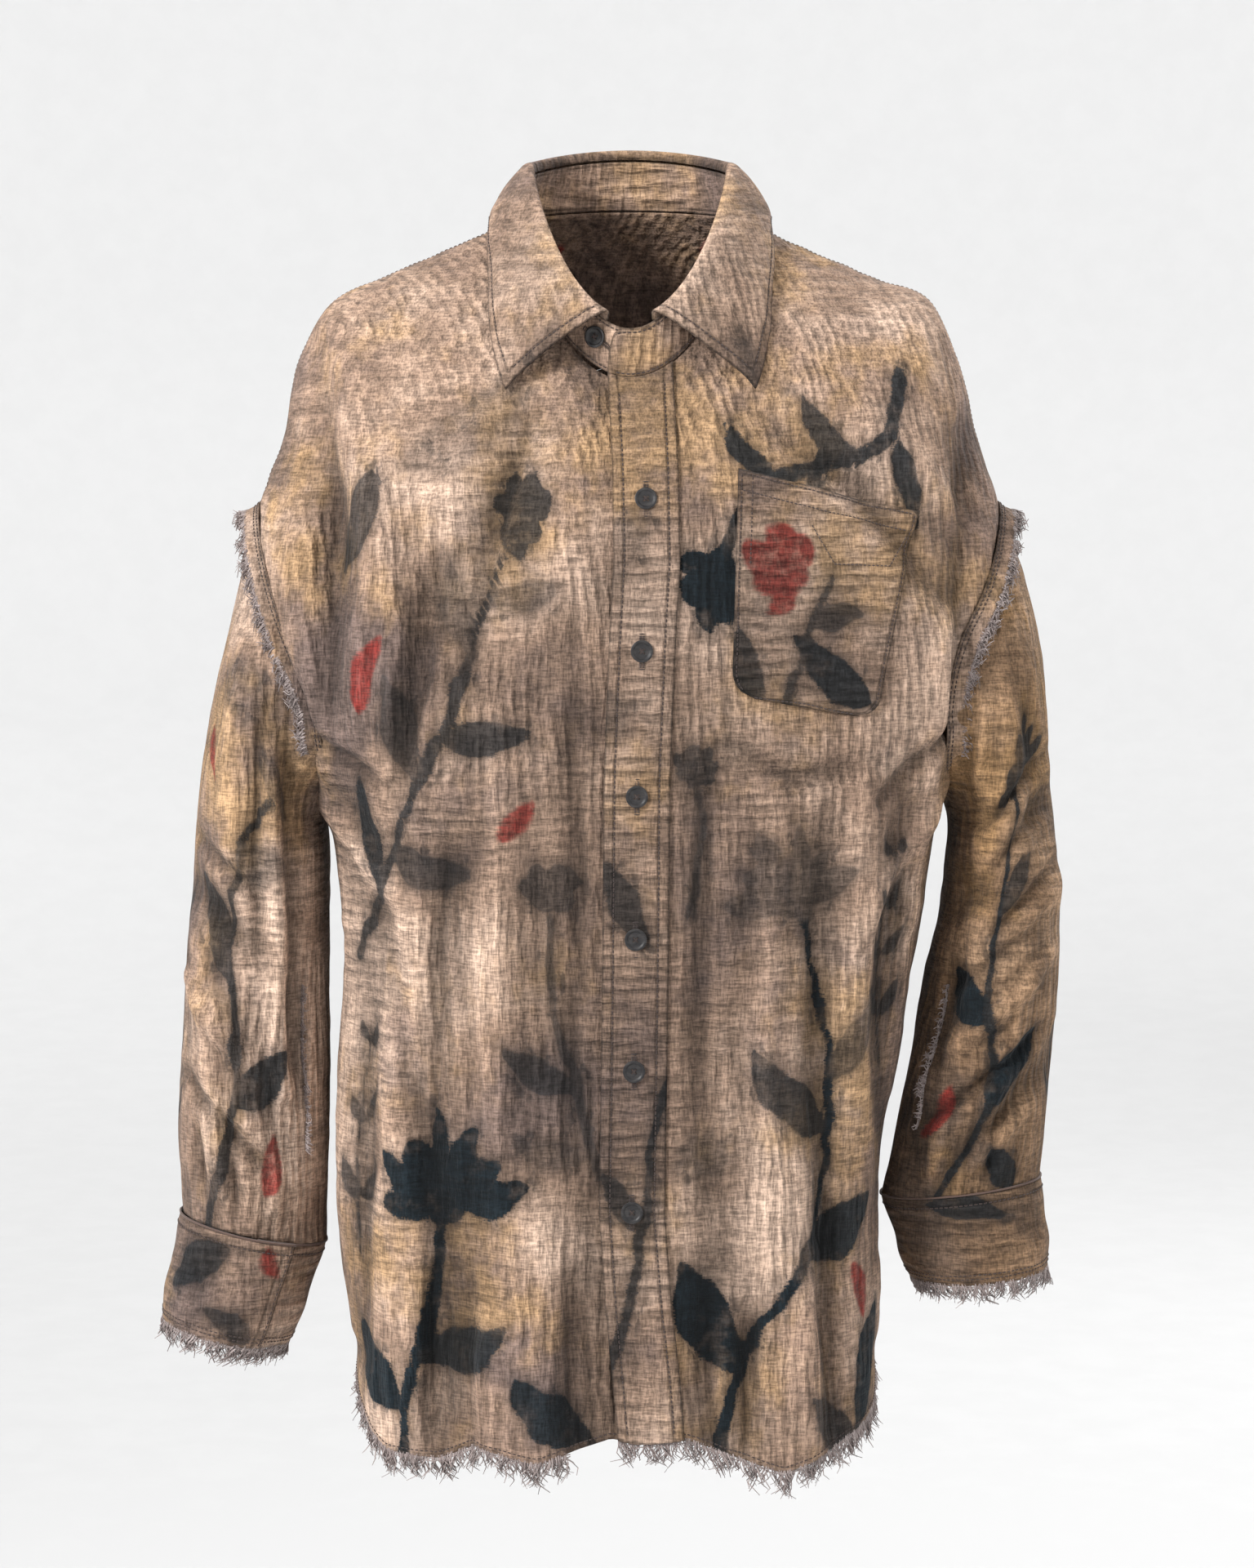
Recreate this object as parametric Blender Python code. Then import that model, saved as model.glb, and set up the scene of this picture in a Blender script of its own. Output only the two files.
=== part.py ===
"""Oversized button-up shirt in crinkled double gauze, kept in the hollow form it has when worn.

Lengths are in metres, +Z is up, the front faces -Y and +X is the wearer's left. The origin is level with
the neck end of the shoulder seams, midway between them, where the wearer's shoulders carry the shirt.

The body is one smooth surface described by a table of rings that run from the neckline to the hem. A place
on it is an angle round the body (0 at the front centre, positive towards the wearer's left) and a level (the
row number in the ring table, with fractions between rows). Front, back and yoke are patches of this surface,
so their edges meet. Each sleeve is a second surface that starts on the armhole loop.
"""

import math
import random
from collections import namedtuple

import bmesh
import bpy
import numpy as np
from mathutils import Matrix, Vector

MM = 0.001

# Cloth walls and the gaps between pieces
WALL = 1.2 * MM
COLLAR_WALL = 1.5 * MM
SEAM_GAP = 0.3 * MM
LAYER_STEP = WALL + 0.75 * MM
LAP_STEP = WALL + 1.1 * MM
PLACKET_STEP = WALL + 0.45 * MM

# Front closure
PLACKET_HALF_WIDTH = 20 * MM
UNDERLAP = 16 * MM
UNDERLAP_FADE = 30 * MM
BUTTON_RADIUS = 6.8 * MM
BUTTON_THICK = 2.6 * MM
BUTTON_RIM = 0.6 * MM
BUTTON_SEAT = 0.5 * MM
BUTTON_SIDES = 12
# The right front has fully sunk beneath the left one this far before the edge of its fade.
UNDERLAP_FLAT = 4 * MM

# Folds keep this share of their depth at their ends and fade out towards the sides of the body.
FOLD_END_SHARE = 0.45
FOLD_SIDE_FADE = 0.3
HEM_WAVE_LEVELS = 1.6
HEM_WAVE_SIDE_FADE = 0.35
SLEEVE_CALM_ROWS_AT_CAP = 2.0
SLEEVE_CALM_ROWS_AT_WRIST = 1.5
SHARP_ANGLE = math.radians(50)

# Spacing of the body's rings is taken as no shorter than this, in mm, so that close rings don't overshoot.
SHORTEST_RING_STEP = 20.0
LEVEL_SAMPLES = 400
NEAR_SIDE = 0.999

# Rows and columns of the panels
NECK_COLUMNS = 6
PLACKET_COLUMNS = 2
SHOULDER_COLUMNS = 7
BACK_NECK_COLUMNS = 8
SIDE_ROWS = 9
ARM_FRONT_ROWS = 12
ARM_YOKE_ROWS = 4
ARM_BACK_ROWS = 8
SLEEVE_ROWS = 15
CUFF_ROWS = 2
CUFF_COLUMNS = 30

# The panel rows dip away from the underarm, so that they meet the bottom of the armhole from below.
UNDERARM_DIP = 0.9
UNDERARM_DIP_POWER = 3.0
TOP_LATE = 2.0

# Armhole: an oval on the body surface, as levels of the ring table and degrees round the body
ARMHOLE_MID_LEVEL = 7.0
ARMHOLE_HALF_LEVELS = 1.0
ARMHOLE_FRONT_REACH = math.radians(33)
ARMHOLE_BACK_REACH = math.radians(31)
YOKE_TURN = math.radians(-50)
YOKE_BACK_LEVEL = 2.6
YOKE_CURVE = 1.6

# Raw edges
FRAY_BAND = 3.0 * MM
FRAY_LENGTH = 11 * MM
FRAY_SPREAD = 0.45
FRAY_PUFF = 0.6
SHORTEST_STRAND = 0.62
HEM_STRANDS_PER_COLUMN = 2
HIDDEN_HEM_COLUMNS = 3
CUFF_STRANDS = 21
SEAM_STAND = 5.0 * MM
SEAM_FRAY_LENGTH = 4.5 * MM
SEAM_STRANDS = 24
ALLOWANCE_SET_BACK = 2.4 * MM
ALLOWANCE_GAP = 0.8 * MM
ALLOWANCE_LEAN = 0.3
ALLOWANCE_REACH = math.radians(138)
CUFF_FRAY_GAP = 0.5 * MM
CUFF_SEAM_GAP = 1.5 * SEAM_GAP
SLEEVE_SEAM_TURN = math.radians(142)
SLEEVE_SEAM_FIRST_ROW = 9
SLEEVE_SEAM_SPANS_PER_ROW = 4
SLEEVE_SEAM_STAND = 3.0 * MM
RANDOM_SEED = 7

Ring = namedtuple("Ring", "name right left front back side_z front_z back_z square drop")
# Half-widths and depths from the origin's axis, then the heights at the side, front and back, in mm.
# Square is the section's superellipse power, drop is how the height falls from the side to the centre.
BODY_RINGS = (
    Ring("neckline", 70, 70, 84, 56, 4, -97, 12, 2.0, 1.4),
    Ring("collar_base", 112, 112, 105, 88, -15, -134, -22, 2.1, 1.6),
    Ring("shoulder_mid", 152, 150, 117, 104, -31, -174, -60, 2.2, 1.8),
    Ring("shoulder_out", 186, 187, 123, 112, -47, -212, -100, 2.3, 2.0),
    Ring("shoulder_tip", 206, 204, 127, 117, -80, -248, -145, 2.3, 2.0),
    Ring("arm_upper", 217, 218, 130, 120, -132, -282, -195, 2.3, 2.0),
    Ring("armhole_top", 233, 232, 132, 122, -176, -312, -243, 2.4, 2.0),
    Ring("chest", 222, 224, 134, 124, -268, -348, -305, 2.5, 2.0),
    Ring("underarm", 187, 196, 136, 124, -358, -395, -372, 2.6, 2.0),
    Ring("ribs", 180, 181, 137, 124, -440, -462, -450, 2.7, 2.0),
    Ring("waist", 181, 165, 138, 125, -524, -545, -535, 2.8, 2.0),
    Ring("hip", 183, 151, 140, 126, -612, -642, -646, 3.0, 1.5),
    Ring("hem", 172, 150, 143, 129, -706, -752, -766, 3.4, 1.0),
)

CentreRow = namedtuple("CentreRow", "z x")
# Where the middle of the button line runs, in mm: it wanders a little as the front hangs.
CENTRE_LINE = (
    CentreRow(-90, 6),
    CentreRow(-150, 9),
    CentreRow(-206, 10),
    CentreRow(-260, 7),
    CentreRow(-340, 4),
    CentreRow(-460, 3),
    CentreRow(-600, 1),
    CentreRow(-660, 5),
    CentreRow(-745, 13),
)

HemRow = namedtuple("HemRow", "x lift")
# Heights of the front hem above or below the smooth hem ring, in mm.
FRONT_HEM = (
    HemRow(-172, 0),
    HemRow(-150, -14),
    HemRow(-120, -8),
    HemRow(-96, 5),
    HemRow(-56, -2),
    HemRow(-12, 12),
    HemRow(4, 10),
    HemRow(34, 12),
    HemRow(60, 2),
    HemRow(93, -13),
    HemRow(128, -6),
    HemRow(148, -6),
)

Fold = namedtuple("Fold", "name face path width depth")
# Soft ridges (positive depth) and troughs of the body; the path is x, z pairs in mm as seen from the front.
BODY_FOLDS = (
    Fold("right chest trough", "front", ((-196, -80), (-186, -160), (-183, -230), (-188, -300)), 13, -13),
    Fold("right chest edge", "front", ((-176, -90), (-164, -160), (-161, -230), (-168, -300)), 15, 5),
    Fold("left chest trough", "front", ((206, -130), (206, -190), (206, -250), (200, -300)), 11, -9),
    Fold("right front flute", "front", ((-132, -330), (-144, -600), (-150, -686), (-156, -750)), 16, 6),
    Fold("right side trough", "front", ((-158, -420), (-164, -600), (-166, -700)), 12, -6),
    Fold("left front flute", "front", ((143, -312), (141, -600), (140, -700), (146, -745)), 14, 6),
    Fold("hem trough right", "front", ((-105, -610), (-112, -745)), 20, -9),
    Fold("hem ridge right", "front", ((-62, -600), (-60, -745)), 22, 6),
    Fold("hem trough left", "front", ((50, -640), (45, -745)), 18, -6),
    Fold("hem ridge left", "front", ((92, -590), (96, -745)), 22, 9),
    Fold("shoulder drag", "front", ((-60, -130), (-130, -235), (-150, -330)), 24, -4),
    Fold("back centre trough", "back", ((4, -150), (0, -420), (-6, -745)), 26, -8),
    Fold("back right ridge", "back", ((-78, -200), (-86, -500), (-92, -750)), 26, 8),
    Fold("back left ridge", "back", ((70, -210), (80, -480), (82, -750)), 24, 7),
    Fold("back right trough", "back", ((-134, -300), (-138, -560), (-142, -740)), 16, -7),
    Fold("back left trough", "back", ((128, -330), (124, -600), (122, -740)), 16, -6),
)

SleeveRing = namedtuple("SleeveRing", "name outer_x outer_z inner_x inner_z middle_y half_depth")
# The outermost and innermost points of each sleeve section, its middle and its half-depth, in mm.
RIGHT_SLEEVE_RINGS = (
    SleeveRing("cap", 251, -240, 193, -377, -1, 76),
    SleeveRing("upper", 263, -291, 192, -402, -2, 76),
    SleeveRing("biceps", 272, -346, 192, -431, -5, 73),
    SleeveRing("elbow", 278, -415, 192, -470, -8, 68),
    SleeveRing("forearm", 284, -488, 192, -520, -12, 62),
    SleeveRing("low", 287, -560, 193, -582, -17, 54),
    SleeveRing("cuff_seam", 285, -622, 195, -641, -20, 43),
)
LEFT_SLEEVE_RINGS = (
    SleeveRing("cap", 253, -238, 203, -377, -1, 76),
    SleeveRing("upper", 263, -289, 202, -402, -2, 76),
    SleeveRing("biceps", 267, -345, 198, -432, -5, 73),
    SleeveRing("elbow", 272, -415, 190, -470, -8, 68),
    SleeveRing("forearm", 272, -482, 181, -517, -12, 60),
    SleeveRing("low", 266, -545, 171, -568, -17, 52),
    SleeveRing("cuff_seam", 260, -599, 161, -611, -20, 40),
)
RIGHT_CUFF_END = SleeveRing("cuff_end", 298, -688, 219, -706, -24, 46)
LEFT_CUFF_END = SleeveRing("cuff_end", 265, -657, 179, -664, -24, 45)

SLEEVE_FOLDS = {
    "right": (
        Fold("inner lobe trough", "front", ((-213, -300), (-208, -400), (-207, -520)), 9, -7),
        Fold("forearm fold", "front", ((-240, -505), (-216, -580)), 10, -5),
        Fold("elbow fold", "front", ((-282, -400), (-225, -455)), 11, -5),
        Fold("back elbow fold", "back", ((-282, -405), (-225, -470)), 13, -6),
        Fold("back lower fold", "back", ((-285, -520), (-220, -585)), 12, -5),
    ),
    "left": (
        Fold("elbow fold", "front", ((272, -352), (205, -425)), 11, -10),
        Fold("elbow bunch", "front", ((274, -400), (215, -470)), 12, 6),
        Fold("lower fold", "front", ((268, -515), (205, -585)), 12, -8),
        Fold("back elbow fold", "back", ((272, -380), (205, -450)), 13, -7),
        Fold("back lower fold", "back", ((268, -500), (200, -575)), 12, -5),
    ),
}

CuffLap = namedtuple("CuffLap", "edge_turn way lap_turn ease_turn")
# Where the cuff's upper end lies, the way the strip runs on from there (+1 forwards), how far the other end
# runs beneath it and the stretch over which the upper end lifts, in degrees.
CUFF_LAPS = {"right": CuffLap(128, -1, 30, 45), "left": CuffLap(262, 1, 30, 45)}

# Collar stand and the crest over which the collar falls: rings like those of the body
STAND_TOP = Ring("stand_top", 60, 60, 89, 53, 32, -67, 44, 2.0, 1.5)
COLLAR_CREST = Ring("collar_crest", 62, 62, 92, 57, 39, -60, 51, 2.0, 1.5)
STAND_ROOT_GAP = 0.95 * MM
STAND_ROUNDED_END = 0.72
STAND_LAP_FROM = math.radians(-40)
STAND_LAP_EASE = math.radians(20)
FALL_ROOT_GAP = 1.5 * MM
FALL_LIFT = 4.0 * MM
FALL_BULGE = 5.0 * MM
FALL_ROWS = (0.06, 0.2, 0.4, 0.64, 0.84, 1.0)
FALL_COLUMNS_PER_HALF = 13

FallStation = namedtuple("FallStation", "name crest_angle edge_angle edge_level")
# From the back centre to the point: degrees round the crest and the outer edge's place on the body.
FALL_STATIONS = (
    FallStation("back", 180, 180, 0.62),
    FallStation("back_side", 134, 136, 0.52),
    FallStation("side", 90, 91, 0.42),
    FallStation("front_side", 62, 67, 0.58),
    FallStation("front_mid", 37, 51, 0.90),
    FallStation("point", 13, 38, 1.22),
)

# Pocket on the wearer's left: corner places on the front in mm (x, z), top left first, going round
POCKET_CORNERS = ((65, -152), (175, -178), (148, -303), (61, -287))
POCKET_ROUNDING = 14 * MM
POCKET_ROWS = 7
POCKET_COLUMNS = 7

FRONT_BUTTON_HEIGHTS = (-170, -261, -348, -434, -514, -600)

ButtonRow = namedtuple("ButtonRow", "name radius height sink")
# Section of a button from its foot to its dish: shares of the radius, the thickness and the rim's depth.
BUTTON_ROWS = (
    ButtonRow("foot", 0.8, 0.0, 0.0),
    ButtonRow("belly", 1.0, 0.45, 0.0),
    ButtonRow("rim_outside", 0.92, 1.0, 0.0),
    ButtonRow("rim_inside", 0.7, 1.0, 0.4),
    ButtonRow("dish", 0.55, 1.0, 1.0),
)

Look = namedtuple("Look", "colour roughness")
GAUZE = Look((0.40, 0.28, 0.18), 0.9)
GAUZE_DARK = Look((0.33, 0.23, 0.16), 0.9)
FRAYED = Look((0.36, 0.28, 0.24), 0.95)
BUTTON_HORN = Look((0.025, 0.022, 0.024), 0.35)


def smooth_step(value):
    """Ease from 0 to 1."""
    value = np.clip(value, 0.0, 1.0)
    return value * value * (3.0 - 2.0 * value)


def unit(vectors):
    """Vectors scaled to length 1 along the last axis."""
    length = np.linalg.norm(vectors, axis=-1, keepdims=True)
    return vectors / np.maximum(length, 1e-12)


def numbers(rows):
    """The number columns of a table of named rows as an array."""
    return np.array([[value for value in row if not isinstance(value, str)] for row in rows], dtype=float)


def spline(points, steps, level):
    """Read a smooth curve through the rows of points at fractional row numbers."""
    level = np.asarray(level, dtype=float)
    row = np.clip(np.floor(level).astype(int), 0, len(points) - 2)
    part = (level - row)[..., None]
    slopes = np.diff(points, axis=0) / steps.reshape((-1,) + (1,) * (points.ndim - 1))
    tangents = np.concatenate([slopes[:1], slopes])
    weights = steps.reshape((-1,) + (1,) * (points.ndim - 1))
    tangents[1:-1] = (slopes[:-1] * weights[1:] + slopes[1:] * weights[:-1]) / (weights[1:] + weights[:-1])
    step = weights[row].reshape(part.shape)
    start, end = points[row], points[row + 1]
    run_in, run_out = tangents[row] * step, tangents[row + 1] * step
    square, cube = part ** 2, part ** 3
    return (
        (2 * cube - 3 * square + 1) * start
        + (cube - 2 * square + part) * run_in
        + (3 * square - 2 * cube) * end
        + (cube - square) * run_out
    )


BODY_TABLE = numbers(BODY_RINGS)
HEM_LEVEL = len(BODY_RINGS) - 1.0
BODY_STEPS = np.maximum(np.hypot(np.diff(BODY_TABLE[:, 0]), np.diff(BODY_TABLE[:, 4])), SHORTEST_RING_STEP)
SQUARE_COLUMN = Ring._fields.index("square") - 1
CENTRE_TABLE = numbers(CENTRE_LINE)
HEM_TABLE = numbers(FRONT_HEM)


def ring_points(ring, angle):
    """Points at angles round one ring; ring holds the number columns of a Ring, one row for each angle."""
    right, left, front, back, side_z, front_z, back_z, square, drop = np.moveaxis(ring, -1, 0)
    sine, cosine = np.sin(angle), np.cos(angle)
    reach = (np.abs(sine) ** square + np.abs(cosine) ** square) ** (-1.0 / square)
    half_width = np.where(sine >= 0, left, right)
    depth = np.where(cosine >= 0, front, back)
    centre_z = np.where(cosine >= 0, front_z, back_z)
    fall = (np.abs(cosine) * reach) ** drop
    x = half_width * sine * reach
    y = -depth * cosine * reach
    z = side_z + (centre_z - side_z) * fall
    return np.stack([x, y, z], axis=-1) * MM


def body_base(angle, level):
    """The smooth body before its folds, with the front hem's waves."""
    points = ring_points(spline(BODY_TABLE, BODY_STEPS, level), angle)
    low = smooth_step(1 - (HEM_LEVEL - level) / HEM_WAVE_LEVELS) * (np.cos(angle) > 0)
    lift = np.interp(points[..., 0] / MM, HEM_TABLE[:, 0], HEM_TABLE[:, 1]) * MM
    near_front = smooth_step(np.cos(angle) / HEM_WAVE_SIDE_FADE)
    points[..., 2] += lift * low * near_front
    return points


def normals_of(surface, angle, level, step=0.004):
    """Outward normals of a surface of (angle, level)."""
    across = surface(angle + step, level) - surface(angle - step, level)
    down = surface(angle, level + step) - surface(angle, level - step)
    return unit(np.cross(down, across))


def fold_height(points, facing, folds):
    """Height of the folds at points; facing is +1 on the front, -1 on the back and fades at the sides."""
    height = np.zeros(points.shape[:-1])
    for fold in folds:
        path = np.array(fold.path) * MM
        spot = points[..., (0, 2)]
        nearest = np.full(height.shape, np.inf)
        along = np.zeros(height.shape)
        lengths = np.linalg.norm(np.diff(path, axis=0), axis=1)
        run = 0.0
        for start, end, length in zip(path[:-1], path[1:], lengths):
            share = np.clip(((spot - start) @ (end - start)) / length ** 2, 0.0, 1.0)
            gap = np.linalg.norm(spot - (start + share[..., None] * (end - start)), axis=-1)
            closer = gap < nearest
            nearest = np.where(closer, gap, nearest)
            along = np.where(closer, run + share * length, along)
            run += length
        swell = FOLD_END_SHARE + (1 - FOLD_END_SHARE) * np.sin(np.pi * np.clip(along / run, 0.0, 1.0))
        side = facing if fold.face == "front" else -facing
        bell = np.exp(-(nearest / (fold.width * MM)) ** 2)
        height += fold.depth * MM * swell * bell * smooth_step(side / FOLD_SIDE_FADE)
    return height


def body_surface(angle, level):
    """The body with its folds."""
    angle, level = np.broadcast_arrays(np.asarray(angle, dtype=float), np.asarray(level, dtype=float))
    base = body_base(angle, level)
    height = fold_height(base, np.cos(angle), BODY_FOLDS)
    return base + normals_of(body_base, angle, level) * height[..., None]


def angle_at(x, level):
    """Angle on the front at which the ring of a level has the given x."""
    ring = spline(BODY_TABLE, BODY_STEPS, level)
    half_width = np.where(x >= 0, ring[..., 1], ring[..., 0]) * MM
    share = np.clip(np.abs(x) / half_width, 0.0, NEAR_SIDE)
    square = ring[..., SQUARE_COLUMN]
    return np.sign(x) * np.arctan2(share, (1.0 - share ** square) ** (1.0 / square))


def front_place(x, z):
    """Angle and level of the place on the front that has the given x and z."""
    levels = np.linspace(0.0, HEM_LEVEL, LEVEL_SAMPLES)
    heights = body_base(angle_at(np.full(levels.shape, x), levels), levels)[:, 2]
    level = np.interp(-z, -heights, levels)
    return float(angle_at(np.array(x), level)), float(level)


def centre_x(z):
    """X of the button line at a height."""
    return np.interp(-z / MM, -CENTRE_TABLE[:, 0], CENTRE_TABLE[:, 1]) * MM


def armhole_place(side, turn):
    """Angle and level on the armhole loop; turn is 0 at its top, +90 degrees in front, 180 below."""
    reach = np.where(np.sin(turn) >= 0, ARMHOLE_FRONT_REACH, ARMHOLE_BACK_REACH)
    angle = side * (math.pi / 2 - reach * np.sin(turn))
    level = ARMHOLE_MID_LEVEL - ARMHOLE_HALF_LEVELS * np.cos(turn)
    return angle, level


ARM_TURNS = np.concatenate([
    np.linspace(0.0, math.pi, ARM_FRONT_ROWS + 1),
    np.linspace(-math.pi, YOKE_TURN, ARM_BACK_ROWS + 1)[1:],
    np.linspace(YOKE_TURN, 0.0, ARM_YOKE_ROWS + 1)[1:-1],
])
ARM_TURNS_IN_ORDER = np.sort(np.where(ARM_TURNS > math.pi - 1e-6, -math.pi, ARM_TURNS))


def shares(places):
    """How far along a run of (angle, level) places each one lies, from 0 to 1, measured on the body."""
    points = body_base(places[:, 0], places[:, 1])
    run = np.concatenate([[0.0], np.cumsum(np.linalg.norm(np.diff(points, axis=0), axis=1))])
    return run / run[-1]


def fill_patch(bottom, top, start, end, top_late=1.0):
    """Fill a four-sided patch of (angle, level) places from its edges; rows run from bottom to top.

    A top_late above 1 keeps the shape of the top edge out of the lower rows.
    """
    across = ((shares(bottom) + shares(top)) / 2)[None, :, None]
    up = ((shares(start) + shares(end)) / 2)[:, None, None] ** top_late
    corners = (
        (1 - up) * (1 - across) * bottom[0]
        + (1 - up) * across * bottom[-1]
        + up * (1 - across) * top[0]
        + up * across * top[-1]
    )
    edges = (1 - up) * bottom[None] + up * top[None] + (1 - across) * start[:, None] + across * end[:, None]
    return edges - corners


def fill_panel(bottom, top, start, end):
    """Fill a panel in two parts, which meet on a line that dips between the underarm and the other edge."""
    across = shares(bottom)[:, None]
    waist = start[SIDE_ROWS] * (1 - across) + end[SIDE_ROWS] * across
    far = np.abs(2 * across[:, 0] - 1) if start[SIDE_ROWS, 1] == end[SIDE_ROWS, 1] else across[:, 0]
    waist[:, 1] = end[SIDE_ROWS, 1] + UNDERARM_DIP * (1 - far ** UNDERARM_DIP_POWER)
    lower = fill_patch(bottom, waist, start[:SIDE_ROWS + 1], end[:SIDE_ROWS + 1])
    upper = fill_patch(waist, top, start[SIDE_ROWS:], end[SIDE_ROWS:], TOP_LATE)
    return np.concatenate([lower[:-1], upper])


def places(angle, level):
    """Angle and level columns joined into one list of places."""
    angle, level = np.broadcast_arrays(np.asarray(angle, dtype=float), np.asarray(level, dtype=float))
    return np.stack([angle, level], axis=-1)


def centre_edge(side, reach, levels):
    """Angles at which a front's centre edge crosses the given levels."""
    angle = np.zeros(len(levels))
    for _ in range(3):
        z = body_base(angle, levels)[:, 2]
        angle = angle_at(centre_x(z) - side * reach, levels)
    return angle


def front_patch(side):
    """Places of one front: side is +1 for the wearer's left, which lies on top at the centre."""
    side_angle = side * math.pi / 2
    neck_columns = NECK_COLUMNS - PLACKET_COLUMNS if side > 0 else NECK_COLUMNS
    columns = neck_columns + SHOULDER_COLUMNS
    centre_break = ARMHOLE_MID_LEVEL + ARMHOLE_HALF_LEVELS + UNDERARM_DIP
    centre_levels = np.concatenate([np.linspace(HEM_LEVEL, centre_break, SIDE_ROWS + 1),
                                    np.linspace(centre_break, 0.0, ARM_FRONT_ROWS + 1)[1:]])
    start = places(centre_edge(side, -PLACKET_HALF_WIDTH if side > 0 else UNDERLAP, centre_levels), centre_levels)
    bottom = places(np.linspace(start[0, 0], side_angle, columns + 1), HEM_LEVEL)
    shoulder = np.linspace(0.0, ARMHOLE_MID_LEVEL - ARMHOLE_HALF_LEVELS, SHOULDER_COLUMNS + 1)[1:]
    neck = np.linspace(start[-1, 0], side_angle, neck_columns + 1)
    top = np.concatenate([places(neck, 0.0), places(side_angle, shoulder)])
    side_seam = np.linspace(HEM_LEVEL, ARMHOLE_MID_LEVEL + ARMHOLE_HALF_LEVELS, SIDE_ROWS + 1)
    turns = np.linspace(math.pi, 0.0, ARM_FRONT_ROWS + 1)[1:]
    end = np.concatenate([places(side_angle, side_seam), places(*armhole_place(side, turns))])
    patch = fill_panel(bottom, top, start, end)
    if side > 0:
        # Columns of their own carry the placket, whose width stays the same all the way down.
        reaches = np.linspace(PLACKET_HALF_WIDTH, -PLACKET_HALF_WIDTH, PLACKET_COLUMNS + 1)[:-1]
        strip = [places(centre_edge(side, reach, centre_levels), centre_levels) for reach in reaches]
        patch = np.concatenate([np.stack(strip, axis=1), patch], axis=1)
    return patch


def yoke_seam():
    """The seam between yoke and back, from the wearer's left armhole to the right one."""
    arm_angle, arm_level = armhole_place(1, np.array(YOKE_TURN))
    angle = np.linspace(arm_angle, 2 * math.pi - arm_angle, 2 * SHOULDER_COLUMNS + BACK_NECK_COLUMNS + 1)
    off_centre = np.abs(angle - math.pi) / (math.pi - arm_angle)
    return places(angle, YOKE_BACK_LEVEL + (arm_level - YOKE_BACK_LEVEL) * off_centre ** YOKE_CURVE)


def mirrored(edge):
    """The same edge on the wearer's right, as angles past the back centre."""
    return np.stack([2 * math.pi - edge[:, 0], edge[:, 1]], axis=-1)


def back_patch():
    """Places of the back below the yoke, from the wearer's left side to the right."""
    top = yoke_seam()
    bottom = places(np.linspace(math.pi / 2, 3 * math.pi / 2, len(top)), HEM_LEVEL)
    side_seam = np.linspace(HEM_LEVEL, ARMHOLE_MID_LEVEL + ARMHOLE_HALF_LEVELS, SIDE_ROWS + 1)
    turns = np.linspace(-math.pi, YOKE_TURN, ARM_BACK_ROWS + 1)[1:]
    start = np.concatenate([places(math.pi / 2, side_seam), places(*armhole_place(1, turns))])
    return fill_panel(bottom, top, start, mirrored(start))


def yoke_patch():
    """Places of the yoke, from the yoke seam up to the shoulder seams and the back neckline."""
    bottom = yoke_seam()
    shoulder = np.linspace(ARMHOLE_MID_LEVEL - ARMHOLE_HALF_LEVELS, 0.0, SHOULDER_COLUMNS + 1)
    neck = np.linspace(math.pi / 2, 3 * math.pi / 2, BACK_NECK_COLUMNS + 1)
    left_seam = places(math.pi / 2, shoulder)
    top = np.concatenate([left_seam, places(neck, 0.0)[1:-1], mirrored(left_seam)[::-1]])
    turns = np.linspace(YOKE_TURN, 0.0, ARM_YOKE_ROWS + 1)
    start = places(*armhole_place(1, turns))
    return fill_patch(bottom, top, start, mirrored(start))


def open_edges(points, gap, edges):
    """Draw the named edges of a grid of points back from the seam line."""
    drawn = points.copy()
    inner = {"bottom": (0, 1), "top": (-1, -2)}
    for edge in edges:
        if edge in inner:
            rim, next_row = inner[edge]
            drawn[rim] += unit(points[next_row] - points[rim]) * gap
        elif edge == "start":
            drawn[:, 0] += unit(points[:, 1] - points[:, 0]) * gap
        else:
            drawn[:, -1] += unit(points[:, -2] - points[:, -1]) * gap
    return drawn


def triangles(quad):
    """A quad's two triangles; both faces of a wall are cut along the same diagonal, so it keeps its thickness."""
    return [[quad[0], quad[1], quad[2]], [quad[0], quad[2], quad[3]]]


def make_object(name, vertices, faces, look):
    """Build one closed body and give it its own material."""
    mesh = bpy.data.meshes.new(name)
    mesh.from_pydata([tuple(vertex) for vertex in vertices], [], faces)
    work = bmesh.new()
    work.from_mesh(mesh)
    bmesh.ops.recalc_face_normals(work, faces=work.faces[:])
    work.to_mesh(mesh)
    work.free()
    mesh.shade_smooth()
    mesh.set_sharp_from_angle(angle=SHARP_ANGLE)
    material = bpy.data.materials.new(name)
    material.use_nodes = True
    shader = material.node_tree.nodes["Principled BSDF"]
    shader.inputs["Base Color"].default_value = (*look.colour, 1.0)
    shader.inputs["Roughness"].default_value = look.roughness
    shader.inputs["Metallic"].default_value = 0.0
    mesh.materials.append(material)
    made = bpy.data.objects.new(name, mesh)
    bpy.context.collection.objects.link(made)
    return made


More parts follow.
